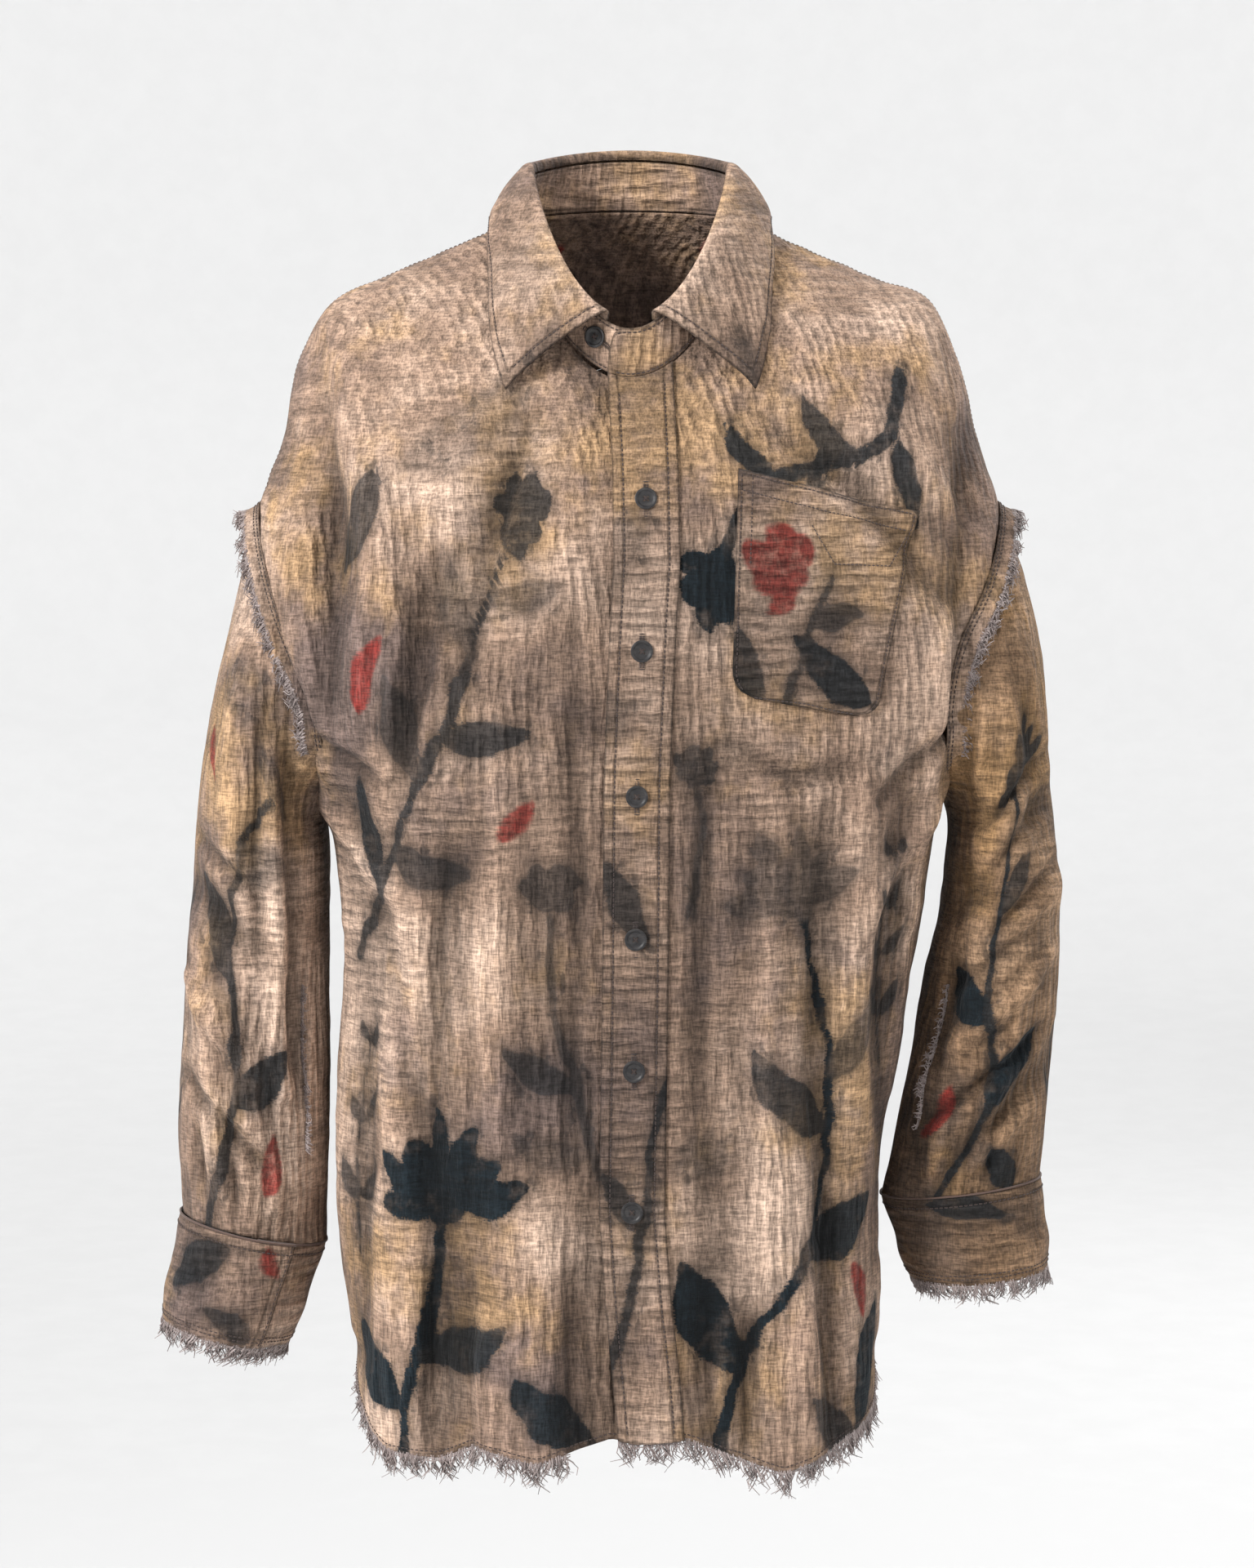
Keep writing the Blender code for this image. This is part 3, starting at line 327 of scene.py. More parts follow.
def grid_normals(points: Array, outside: Array | None, closed: bool = False) -> Array:
    """Normals of a grid of points.

    Args:
        points: Rows and columns of points.
        outside: Directions that face out, or None to face away from the middle of each row.
        closed: Whether the columns wrap round.

    Returns:
        One unit normal for each point.
    """
    if closed:
        across = np.roll(points, -1, axis=1) - np.roll(points, 1, axis=1)
    else:
        across = np.gradient(points, axis=1)
    normals = unit(np.cross(across, np.gradient(points, axis=0)))
    away = points - points.mean(axis=1, keepdims=True) if outside is None else outside
    return normals * np.sign(np.sum(normals * away))


@dataclass(frozen=True)
class Counts:
    """Rows and columns of the body's patches."""

    neck: int = 48
    placket: int = 16
    shoulder: int = 58
    back_neck: int = 52
    side_rows: int = 130
    arm_front: int = 88
    arm_yoke: int = 36
    arm_back: int = 60


BODY_FOLDS = read_folds(front="""
13 -13: -196 -80 -186 -160 -183 -230 -188 -300: right chest trough
15 5: -176 -90 -164 -160 -161 -230 -168 -300: right chest edge
11 -9: 206 -130 206 -190 206 -250 200 -300: left chest trough
16 6: -132 -330 -144 -600 -150 -686 -156 -750: right front flute
12 -6: -158 -420 -164 -600 -166 -700: right side trough
14 6: 143 -312 141 -600 140 -700 146 -745: left front flute
20 -9: -105 -610 -112 -745: hem trough right
22 6: -62 -600 -60 -745: hem ridge right
18 -6: 50 -640 45 -745: hem trough left
22 9: 92 -590 96 -745: hem ridge left
24 -4: -60 -130 -130 -235 -150 -330: shoulder drag
""", back="""
26 -8: 4 -150 0 -420 -6 -745: back centre trough
26 8: -78 -200 -86 -500 -92 -750: back right ridge
24 7: 70 -210 80 -480 82 -750: back left ridge
16 -7: -134 -300 -138 -560 -142 -740: back right trough
16 -6: 128 -330 124 -600 122 -740: back left trough
""")
BODY_CREASES = read_folds(front="""
7 -2.2: -60 -118 -84 -190 -100 -270: collar drag right
9 2: -84 -112 -118 -180 -140 -262: collar drag right, outer
7 -2.4: -120 -190 -126 -270 -138 -345: chest ripple right
5 -3: -214 -296 -182 -326 -146 -344: armhole pull right
6 2.6: -200 -338 -172 -376 -146 -412: armhole pull right, low
7 -2.2: -110 -380 -118 -500 -116 -610: rib ripple right
9 2: -78 -330 -84 -470 -80 -600: belly ripple right
6 -1.6: -36 -230 -33 -400 -38 -560: placket ripple right
7 2.8: -134 -560 -130 -650 -136 -735: hip ripple right
6 2.4: -86 -668 -88 -742: hem flick right
8 -2.4: -36 -640 -34 -742: hem flick middle
8 -2.4: 72 -112 140 -168 196 -232: shoulder drag left
8 2: 108 -96 168 -138 214 -196: shoulder ripple left
5 -3: 216 -296 182 -322 150 -352: armhole pull left
6 2.6: 200 -340 164 -384 138 -440: armhole pull left, low
7 -2.2: 60 -318 100 -338 148 -330: pocket ripple
8 -2.4: 118 -360 112 -500 116 -620: rib ripple left
8 2.2: 86 -370 80 -500 86 -600: belly ripple left
7 -1.8: 46 -340 42 -470 46 -600: placket ripple left
7 -2.6: 120 -600 116 -670 120 -740: hip ripple left
7 -2.6: 72 -660 70 -744: hem flick left
7 2.6: -176 -440 -178 -560 -174 -690: side ripple right
7 2.4: 172 -420 160 -540 148 -690: side ripple left
8 3.4: -204 -250 -190 -330 -176 -430: armhole hang right
10 3: -150 -150 -146 -260 -150 -360: chest hang right
9 -3: -150 -420 -128 -560 -132 -680: waist hang right
8 -3.4: -120 -640 -124 -748: hem scallop right
8 3.2: 196 -240 182 -330 170 -430: armhole hang left
9 -3: 160 -380 152 -500 156 -640: side hang left
8 3.2: 104 -650 108 -744: hem scallop left
7 2.6: 58 -650 60 -744: hem scallop left, inner
""", back="""
9 -2.4: -60 -40 -130 -90 -196 -150: yoke drag right
9 -2.2: 56 -44 124 -96 190 -158: yoke drag left
9 -3.2: -170 -200 -130 -280 -110 -380: blade ripple right
9 -3: 172 -206 128 -290 104 -396: blade ripple left
8 2.6: -34 -140 -40 -320 -34 -520: spine ripple right
8 2.4: 34 -150 42 -330 40 -480: spine ripple left
7 -2.8: -60 -430 -58 -580 -64 -740: loin ripple right
7 -2.4: 56 -470 52 -620 54 -742: loin ripple left
8 3: -112 -600 -114 -744: hem flick back right
8 2.8: 104 -580 104 -742: hem flick back left
8 -2.6: -168 -420 -170 -560 -166 -690: side ripple back right
8 -2.4: 164 -430 154 -560 146 -690: side ripple back left
""")


@dataclass
class BodyForm:
    """The worn body of the shirt: rings, centre line, hem, folds and armholes."""

    counts: Counts = Counts()
    rings: tuple = (
        Ring("neckline", 70, 70, 84, 56, 4, -97, 12, 2.0, 1.4),
        Ring("collar_base", 112, 112, 105, 88, -15, -134, -22, 2.1, 1.6),
        Ring("shoulder_mid", 152, 150, 117, 104, -31, -174, -60, 2.2, 1.8),
        Ring("shoulder_out", 186, 187, 123, 112, -47, -212, -100, 2.3, 2.0),
        Ring("shoulder_tip", 206, 204, 127, 117, -80, -248, -145, 2.3, 2.0),
        Ring("arm_upper", 217, 218, 130, 120, -132, -282, -195, 2.3, 2.0),
        Ring("armhole_top", 233, 232, 132, 122, -176, -312, -243, 2.4, 2.0),
        Ring("chest", 222, 224, 134, 124, -268, -348, -305, 2.5, 2.0),
        Ring("underarm", 187, 196, 136, 124, -358, -395, -372, 2.6, 2.0),
        Ring("ribs", 180, 181, 137, 124, -440, -462, -450, 2.7, 2.0),
        Ring("waist", 181, 165, 138, 125, -524, -545, -535, 2.8, 2.0),
        Ring("hip", 183, 151, 140, 126, -612, -642, -646, 3.0, 1.5),
        Ring("hem", 172, 150, 143, 129, -706, -752, -766, 3.4, 1.0),
    )
    centre_line: tuple = ((-90, 6), (-150, 9), (-206, 10), (-260, 7), (-340, 4), (-460, 3), (-600, 1), (-660, 5),
                          (-745, 13))
    front_hem: tuple = ((-172, 0), (-150, -14), (-120, -8), (-96, 5), (-56, -2), (-12, 12), (4, 10), (34, 12),
                        (60, 2), (93, -13), (128, -6), (148, -6))
    folds: tuple = BODY_FOLDS
    creases: tuple = BODY_CREASES
    armhole_mid_level: float = 7.0
    armhole_half_levels: float = 1.0
    armhole_front_reach: float = math.radians(33)
    armhole_back_reach: float = math.radians(31)
    yoke_turn: float = math.radians(-50)
    yoke_back_level: float = 2.6
    yoke_curve: float = 1.6
    underarm_dip: float = 0.9
    underarm_dip_power: float = 3.0
    top_late: float = 2.0
    crease_strength: float = 2.3
    hem_flute: float = 2.8 * MM
    underlap: float = 16 * MM
    underlap_fade: float = 30 * MM

    def __post_init__(self) -> None:
        """Turn the tables into arrays."""
        self.table = numbers(self.rings)
        self.steps = np.maximum(np.hypot(np.diff(self.table[:, 0]), np.diff(self.table[:, 4])), 20.0)
        self.hem_level = len(self.rings) - 1.0
        self.centre_table = np.array(self.centre_line, dtype=float)
        self.hem_table = np.array(self.front_hem, dtype=float)

    @staticmethod
    def ring_points(ring: Array, angle: Array) -> Array:
        """Points round one ring.

        Args:
            ring: The number columns of a ring, one row for each angle.
            angle: Angles round the body.

        Returns:
            The points in metres.
        """
        right, left, front, back, side_z, front_z, back_z, square, drop = np.moveaxis(ring, -1, 0)
        sine, cosine = np.sin(angle), np.cos(angle)
        reach = (np.abs(sine) ** square + np.abs(cosine) ** square) ** (-1.0 / square)
        half_width = np.where(sine >= 0, left, right)
        depth = np.where(cosine >= 0, front, back)
        centre_z = np.where(cosine >= 0, front_z, back_z)
        fall = (np.abs(cosine) * reach) ** drop
        height = side_z + (centre_z - side_z) * fall
        return np.stack([half_width * sine * reach, -depth * cosine * reach, height], axis=-1) * MM

    def base(self, angle: Array, level: Array) -> Array:
        """The smooth body before its folds, with the front hem's waves.

        Args:
            angle: Angles round the body.
            level: Rows of the ring table.

        Returns:
            Points in metres.
        """
        points = self.ring_points(spline(self.table, self.steps, level), angle)
        low = smooth_step((level - (self.hem_level - 1.6)) / 1.6) * (np.cos(angle) > 0)
        lift = np.interp(points[..., 0] / MM, self.hem_table[:, 0], self.hem_table[:, 1]) * MM
        points[..., 2] += lift * low * smooth_step(np.cos(angle) / 0.35)
        return points

    @staticmethod
    def normals(surface: Callable[[Array, Array], Array], angle: Array, level: Array) -> Array:
        """Outward normals of a surface of (angle, level).

        Args:
            surface: The surface.
            angle: Angles round the body.
            level: Rows of the ring table.

        Returns:
            Unit normals.
        """
        step = 0.004
        across = surface(angle + step, level) - surface(angle - step, level)
        down = surface(angle, level + step) - surface(angle, level - step)
        return unit(np.cross(down, across))

    def surface(self, angle: Array, level: Array) -> Array:
        """The body with its main folds, as the solids have it.

        Args:
            angle: Angles round the body.
            level: Rows of the ring table.

        Returns:
            Points in metres.
        """
        angle, level = np.broadcast_arrays(np.asarray(angle, dtype=float), np.asarray(level, dtype=float))
        base = self.base(angle, level)
        height = fold_height(base, np.cos(angle), self.folds)
        return base + self.normals(self.base, angle, level) * height[..., None]

    def dressed(self, angle: Array, level: Array, offset: Array | float = 0.0) -> tuple[Array, Array]:
        """The body with creases and crinkle.

        Args:
            angle: Angles round the body.
            level: Rows of the ring table.
            offset: Distance out from the cloth's middle.

        Returns:
            Points and the smooth surface's normals.
        """
        angle, level = np.broadcast_arrays(np.asarray(angle, dtype=float), np.asarray(level, dtype=float))
        base = self.base(angle, level)
        normals = self.normals(self.surface, angle, level)
        height = fold_height(base, np.cos(angle), self.creases) * self.crease_strength + crinkle(base)
        low = smooth_step((level - (self.hem_level - 2.2)) / 2.2)
        across = base[..., 0] / MM
        height = height + low * self.hem_flute * np.sin(across / 17.0 + 0.8 * np.sin(across / 41.0))
        calm_neck = smooth_step(level / 0.7)
        out = height * calm_neck + np.asarray(offset)
        return self.surface(angle, level) + normals * out[..., None], normals

    def angle_at(self, x: Array, level: Array) -> Array:
        """Angle on the front at which the ring of a level has the given x.

        Args:
            x: Place from the middle, in metres.
            level: Rows of the ring table.

        Returns:
            Angles round the body.
        """
        ring = spline(self.table, self.steps, level)
        half_width = np.where(x >= 0, ring[..., 1], ring[..., 0]) * MM
        share = np.clip(np.abs(x) / half_width, 0.0, 0.999)
        square = ring[..., 7]
        return np.sign(x) * np.arctan2(share, (1.0 - share ** square) ** (1.0 / square))

    def front_place(self, x: float, z: float) -> tuple[float, float]:
        """Angle and level of the place on the front that has the given x and z.

        Args:
            x: Place from the middle, in metres.
            z: Height, in metres.

        Returns:
            The angle and the level.
        """
        levels = np.linspace(0.0, self.hem_level, 400)
        heights = self.base(self.angle_at(np.full(levels.shape, x), levels), levels)[:, 2]
        level = np.interp(-z, -heights, levels)
        return float(self.angle_at(np.array(x), level)), float(level)

    def centre_x(self, z: Array) -> Array:
        """X of the button line at a height."""
        return np.interp(-z / MM, -self.centre_table[:, 0], self.centre_table[:, 1]) * MM

    def armhole_place(self, side: int, turn: Array) -> tuple[Array, Array]:
        """Angle and level on an armhole; turn is 0 at its top, +90 degrees in front, 180 below.

        Args:
            side: +1 on the wearer's left, -1 on the right.
            turn: Turns round the armhole: 0 at its top, +90 degrees in front.

        Returns:
            Angles and levels.
        """
        reach = np.where(np.sin(turn) >= 0, self.armhole_front_reach, self.armhole_back_reach)
        angle = side * (math.pi / 2 - reach * np.sin(turn))
        return angle, self.armhole_mid_level - self.armhole_half_levels * np.cos(turn)

    def armhole_frame(self, side: int, turns: Array) -> tuple[Array, Array, Array]:
        """The cloth's place and facing round an armhole.

        Args:
            side: +1 on the wearer's left, -1 on the right.
            turns: Turns round the armhole.

        Returns:
            Points, normals and the ways along the cloth towards the armhole's middle.
        """
        loop, whole = (self.surface(*self.armhole_place(side, values)) for values in (turns, self.arm_turns))
        normals = self.normals(self.surface, *self.armhole_place(side, turns))
        inward = whole.mean(axis=0) - loop
        return loop, normals, unit(inward - normals * np.sum(inward * normals, axis=-1, keepdims=True))

    @property
    def arm_turns(self) -> Array:
        """Turns round an armhole that match the columns of the panels on it.

        Returns:
            The turns, from the top over the front.
        """
        count = self.counts
        return np.concatenate([
            np.linspace(0.0, math.pi, count.arm_front + 1),
            np.linspace(-math.pi, self.yoke_turn, count.arm_back + 1)[1:],
            np.linspace(self.yoke_turn, 0.0, count.arm_yoke + 1)[1:-1],
        ])


def places(angle: Array, level: Array) -> Array:
    """Angle and level columns joined into one list of places."""
    angle, level = np.broadcast_arrays(np.asarray(angle, dtype=float), np.asarray(level, dtype=float))
    return np.stack([angle, level], axis=-1)


def mirrored(edge: Array) -> Array:
    """The same edge on the wearer's right, as angles past the back centre."""
    return np.stack([2 * math.pi - edge[:, 0], edge[:, 1]], axis=-1)


@dataclass
class Pattern:
    """The cut panels of the body, as patches of (angle, level) places."""

    body: BodyForm

    def shares(self, edge: Array) -> Array:
        """How far along a run of places each one lies, from 0 to 1.

        Args:
            edge: A run of places.

        Returns:
            The shares.
        """
        points = self.body.base(edge[:, 0], edge[:, 1])
        run = run_along(points)
        return run / run[-1]

    def fill_patch(self, bottom: Array, top: Array, start: Array, end: Array, top_late: float = 1.0) -> Array:
        """Fill a four-sided patch from its edges.

        Args:
            bottom: Places of the lowest row.
            top: Places of the highest row.
            start: Places of the first column, upwards.
            end: Places of the last column, upwards.
            top_late: Above 1 it keeps the top edge's shape out of the lower rows.

        Returns:
            Rows and columns of places.
        """
        across = ((self.shares(bottom) + self.shares(top)) / 2)[None, :, None]
        up = ((self.shares(start) + self.shares(end)) / 2)[:, None, None] ** top_late
        corners = (
            (1 - up) * (1 - across) * bottom[0]
            + (1 - up) * across * bottom[-1]
            + up * (1 - across) * top[0]
            + up * across * top[-1]
        )
        edges = (1 - up) * bottom[None] + up * top[None] + (1 - across) * start[:, None] + across * end[:, None]
        return edges - corners

    def fill_panel(self, bottom: Array, top: Array, start: Array, end: Array) -> Array:
        """Fill a panel in two parts, which meet on a line that dips below the underarm.

        Args:
            bottom: Places of the lowest row.
            top: Places of the highest row.
            start: Places of the first column, upwards.
            end: Places of the last column, upwards.

        Returns:
            Rows and columns of places.
        """
        rows = self.body.counts.side_rows
        across = self.shares(bottom)[:, None]
        waist = start[rows] * (1 - across) + end[rows] * across
        far = np.abs(2 * across[:, 0] - 1) if start[rows, 1] == end[rows, 1] else across[:, 0]
        waist[:, 1] = end[rows, 1] + self.body.underarm_dip * (1 - far ** self.body.underarm_dip_power)
        lower = self.fill_patch(bottom, waist, start[:rows + 1], end[:rows + 1])
        upper = self.fill_patch(waist, top, start[rows:], end[rows:], self.body.top_late)
        return np.concatenate([lower[:-1], upper])

    def centre_edge(self, side: int, reach: float, levels: Array) -> Array:
        """Angles at which a front's centre edge crosses the given levels.

        Args:
            side: +1 on the wearer's left, -1 on the right.
            reach: How far the edge runs past the button line.
            levels: Rows of the ring table.

        Returns:
            The angles.
        """
        angle = np.zeros(len(levels))
        for _ in range(3):
            z = self.body.base(angle, levels)[:, 2]
            angle = self.body.angle_at(self.body.centre_x(z) - side * reach, levels)
        return angle

    def front(self, side: int) -> Array:
        """Places of one front; the wearer's left one lies on top and has the placket's columns first.

        Args:
            side: +1 on the wearer's left, -1 on the right.

        Returns:
            Rows and columns of places.
        """
        body, count = self.body, self.body.counts
        side_angle = side * math.pi / 2
        low = body.armhole_mid_level + body.armhole_half_levels
        high = body.armhole_mid_level - body.armhole_half_levels
        neck_columns = count.neck - count.placket if side > 0 else count.neck
        centre_break = low + body.underarm_dip
        levels = np.concatenate([np.linspace(body.hem_level, centre_break, count.side_rows + 1),
                                 np.linspace(centre_break, 0.0, count.arm_front + 1)[1:]])
        reach = -PLACKET_HALF_WIDTH if side > 0 else body.underlap
        start = places(self.centre_edge(side, reach, levels), levels)
        bottom = places(np.linspace(start[0, 0], side_angle, neck_columns + count.shoulder + 1), body.hem_level)
        neck = np.linspace(start[-1, 0], side_angle, neck_columns + 1)
        top = np.concatenate([places(neck, 0.0), places(side_angle, np.linspace(0.0, high, count.shoulder + 1)[1:])])
        turns = np.linspace(math.pi, 0.0, count.arm_front + 1)[1:]
        end = np.concatenate([places(side_angle, np.linspace(body.hem_level, low, count.side_rows + 1)),
                              places(*body.armhole_place(side, turns))])
        patch = self.fill_panel(bottom, top, start, end)
        if side > 0:
            reaches = np.linspace(PLACKET_HALF_WIDTH, -PLACKET_HALF_WIDTH, count.placket + 1)[:-1]
            strip = [places(self.centre_edge(side, value, levels), levels) for value in reaches]
            patch = np.concatenate([np.stack(strip, axis=1), patch], axis=1)
        return patch

    def yoke_seam(self) -> Array:
        """The seam between yoke and back, from the wearer's left armhole to the right one.

        Returns:
            A run of places.
        """
        body = self.body
        arm_angle, arm_level = body.armhole_place(1, np.array(body.yoke_turn))
        columns = 2 * body.counts.shoulder + body.counts.back_neck
        angle = np.linspace(arm_angle, 2 * math.pi - arm_angle, columns + 1)
        off_centre = np.abs(angle - math.pi) / (math.pi - arm_angle)
        return places(angle, body.yoke_back_level + (arm_level - body.yoke_back_level) * off_centre ** body.yoke_curve)

    def back(self) -> Array:
        """Places of the back below the yoke, from the wearer's left side to the right.

        Returns:
            Rows and columns of places.
        """
        body = self.body
        top = self.yoke_seam()
        bottom = places(np.linspace(math.pi / 2, 3 * math.pi / 2, len(top)), body.hem_level)
        low = body.armhole_mid_level + body.armhole_half_levels
        seam = places(math.pi / 2, np.linspace(body.hem_level, low, body.counts.side_rows + 1))
        turns = np.linspace(-math.pi, body.yoke_turn, body.counts.arm_back + 1)[1:]
        start = np.concatenate([seam, places(*body.armhole_place(1, turns))])
        return self.fill_panel(bottom, top, start, mirrored(start))

    def yoke(self) -> Array:
        """Places of the yoke, from the yoke seam up to the shoulder seams and the back neckline.

        Returns:
            Rows and columns of places.
        """
        body = self.body
        high = body.armhole_mid_level - body.armhole_half_levels
        neck = np.linspace(math.pi / 2, 3 * math.pi / 2, body.counts.back_neck + 1)
        left_seam = places(math.pi / 2, np.linspace(high, 0.0, body.counts.shoulder + 1))
        top = np.concatenate([left_seam, places(neck, 0.0)[1:-1], mirrored(left_seam)[::-1]])
        start = places(*body.armhole_place(1, np.linspace(body.yoke_turn, 0.0, body.counts.arm_yoke + 1)))
        return self.fill_patch(self.yoke_seam(), top, start, mirrored(start))


@dataclass(frozen=True)
class Stem:
    """A printed stalk: a soft line whose width changes along it, in mm."""

    path: tuple
    width: tuple = (4.5, 2.6)
    tone: float = 0.85

    def depth(self, spots: Array) -> Array:
        """Depth inside the stalk in mm, negative outside it.

        Args:
            spots: Places in mm along the last axis.

        Returns:
            The depths.
        """
        knots = np.array(self.path, dtype=float)
        steps = np.linalg.norm(np.diff(knots, axis=0), axis=1)
        line = spline(knots, steps, np.linspace(0, len(knots) - 1, 6 * len(knots)))
        gap, along = path_gap(spots, line)
        return (self.width[0] + (self.width[1] - self.width[0]) * along) / 2 - gap


@dataclass(frozen=True)
class Leaf:
    """A printed leaf from its base to its tip, in mm."""

    base: tuple
    tip: tuple
    width: float
    tone: float = 0.9
    bend: float = 4.0
    fullness: float = 0.75

    def depth(self, spots: Array) -> Array:
        """Depth inside the leaf in mm, negative outside it.

        Args:
            spots: Places in mm along the last axis.

        Returns:
            The depths.
        """
        base, tip = np.array(self.base, dtype=float), np.array(self.tip, dtype=float)
        length = np.linalg.norm(tip - base)
        way = (tip - base) / length
        along = ((spots - base) @ way) / length
        inside = np.clip(along, 0.0, 1.0)
        off = (spots - base) @ np.array([-way[1], way[0]]) - self.bend * np.sin(np.pi * inside)
        half = self.width / 2 * np.sin(np.pi * inside ** 0.85) ** self.fullness
        past = np.maximum(np.abs(along - 0.5) - 0.5, 0.0) * length
        return half - np.hypot(off, past)


@dataclass(frozen=True)
class Blossom:
    """A printed flower or seed head with a lobed outline, in mm."""

    centre: tuple
    radius: float
    lobes: int = 7
    cut: float = 0.35
    flat: float = 1.0
    turn: float = 0.0
    tone: float = 0.8

    def depth(self, spots: Array) -> Array:
        """Depth inside the flower in mm, negative outside it.

        Args:
            spots: Places in mm along the last axis.

        Returns:
            The depths.
        """
        offset = spots - np.array(self.centre, dtype=float)
        across = offset[..., 0] * math.cos(self.turn) + offset[..., 1] * math.sin(self.turn)
        up = (offset[..., 1] * math.cos(self.turn) - offset[..., 0] * math.sin(self.turn)) / self.flat
        around = np.arctan2(up, across)
        ripple = np.abs(np.cos(self.lobes * around / 2.0)) ** 0.6 + 0.16 * np.sin(3 * around + self.turn)
        return self.radius * (1.0 - self.cut + self.cut * ripple) - np.hypot(across, up)


def sprig(start: tuple, end: tuple, pairs: int, leaf: float, tone: float = 0.8, bow: float = 14.0) -> tuple:
    """A stalk with leaves on both sides.

    Args:
        start: Foot of the stalk, mm.
        end: Top of the stalk, mm.
        pairs: How many leaves it has on each side.
        leaf: Length of its longest leaf, mm.
        tone: Darkness of the print.
        bow: How far the stalk bows sideways, mm.

    Returns:
        The motifs of the sprig.
    """
    foot, top = np.array(start, dtype=float), np.array(end, dtype=float)
    way = unit(top - foot)
    side = np.array([-way[1], way[0]])
    middle = (foot + top) / 2 + side * bow
    made = [Stem((start, tuple(middle), end), (3.6, 1.8), tone)]
    for number in range(int(pairs)):
        share = 0.25 + 0.7 * number / max(pairs - 1, 1)
        joint = foot * (1 - share) ** 2 + middle * 2 * share * (1 - share) + top * share ** 2
        reach = leaf * (1.0 - 0.45 * share)
        for hand in (1, -1):
            spread = way * 0.75 + side * hand * (0.8 - 0.2 * share)
            tip = joint + spread * reach * (1.0 - 0.12 * (number + hand) % 0.3)
            made.append(Leaf(tuple(joint), tuple(tip), reach * 0.36, tone, 3.0 * hand))
        middle = middle + side * (0.4 if number % 2 else -0.4)
    return tuple(made)


@dataclass(frozen=True)
class DyePatch:
    """A broad patch of another dye: its place and half-sizes in mm, and its strength from -1 to 1."""

    x: float
    z: float
    half_width: float
    half_height: float
    strength: float


@dataclass
class Print:
    """The motifs and dye patches of one panel, drawn in mm on the panel's own flat places."""

    motifs: list = field(default_factory=list)
    petals: list = field(default_factory=list)
    patches: list = field(default_factory=list)

    def marks(self, spots: Array) -> dict[str, Array]:
        """Print values at flat places.

        Args:
            spots: Places in mm along the last axis.

        Returns:
            Depth inside the dark print and inside the red one, the print's tone and the dye's strength.
        """
        shape = spots.shape[:-1]
        wobble = np.stack([
            value_noise(np.concatenate([spots * MM, np.zeros(shape + (1,))], axis=-1), (14, 14, 14), seed)
            for seed in (31, 32)
        ], axis=-1)
        fine = np.stack([
            value_noise(np.concatenate([spots * MM, np.zeros(shape + (1,))], axis=-1), (5, 5, 5), seed)
            for seed in (33, 34)
        ], axis=-1)
        moved = spots + wobble * 2.6 + fine * 0.9
        marks = {"ink": np.full(shape, -12.0), "tone": np.full(shape, 0.8), "petal": np.full(shape, -12.0)}
        weight, tones = np.full(shape, 1e-6), np.full(shape, 0.8e-6)
        for motif in self.motifs:
            depth = motif.depth(moved)
            marks["ink"] = np.maximum(marks["ink"], depth)
            pull = np.exp(np.clip(depth, -12, 12) / 1.5)
            weight += pull
            tones += pull * motif.tone
        marks["tone"] = tones / weight
        for petal in self.petals:
            marks["petal"] = np.maximum(marks["petal"], petal.depth(moved))
        dye = np.zeros(shape)
        for patch in self.patches:
            across, up = (moved[..., 0] - patch.x) / patch.half_width, (moved[..., 1] - patch.z) / patch.half_height
            dye += patch.strength * np.exp(-(across ** 2 + up ** 2))
        marks["dye"] = np.clip(dye, -1.0, 1.0)
        return marks


def fan(centre: tuple, way: float, spread: float, reach: float, count: int, width: float, tone: float = 0.9) -> tuple:
    """A bloom of petals that open like a fan, over a small round heart.

    Args:
        centre: The heart of the bloom, mm.
        way: The way that it opens, degrees from the right.
        spread: How wide it opens, degrees.
        reach: Length of its longest petal, mm.
        count: How many petals it has.
        width: Width of a petal, mm.
        tone: Darkness of the print.

    Returns:
        The motifs of the bloom.
    """
    made = [Blossom(centre, width * 0.62, 5, 0.25, 1.0, 0.3, tone)]
    for number in range(int(count)):
        share = number / max(count - 1, 1) - 0.5
        turn = math.radians(way + spread * share)
        length = reach * (1.0 - 0.5 * share * share) * (0.86 + 0.14 * math.cos(2.4 * number))
        tip = (centre[0] + length * math.cos(turn), centre[1] + length * math.sin(turn))
        made.append(Leaf(centre, tip, width * (0.86 + 0.14 * math.sin(1.9 * number)), tone, 4.0 * share, 0.62))
    return tuple(made)


def read_prints(table: str) -> dict[str, Print]:
    """Read the prints of the panels from a table with one motif a line.

    Args:
        table: A line in brackets names a panel. A motif's line has its word and the numbers of its class or
            function in their order, in mm; a stem's width and tone stand before its path. Red ones are petals.

    Returns:
        The print of each panel.
    """
    prints: dict[str, Print] = {}
    for line in table.strip().splitlines():
        word, *rest = line.split()
        if word.startswith("["):
            prints[word.strip("[]")] = panel = Print([], [], [])
            continue
        values = [float(value) for value in rest]
        place, run = tuple(values[:2]), tuple(values[2:4])
        chosen = panel.petals if word.startswith("red_") else panel.motifs
        match word.removeprefix("red_"):
            case "dye":
                panel.patches.append(DyePatch(*values))
            case "stem":
                chosen.append(Stem(tuple(zip(values[3::2], values[4::2])), place, values[2]))
            case "leaf":
                chosen.append(Leaf(place, run, *values[4:]))
            case "bloom":
                chosen.append(Blossom(place, *values[2:]))
            case "fan":
                chosen += fan(place, *values[2:])
            case "sprig":
                chosen += sprig(place, run, *values[4:])
    return prints


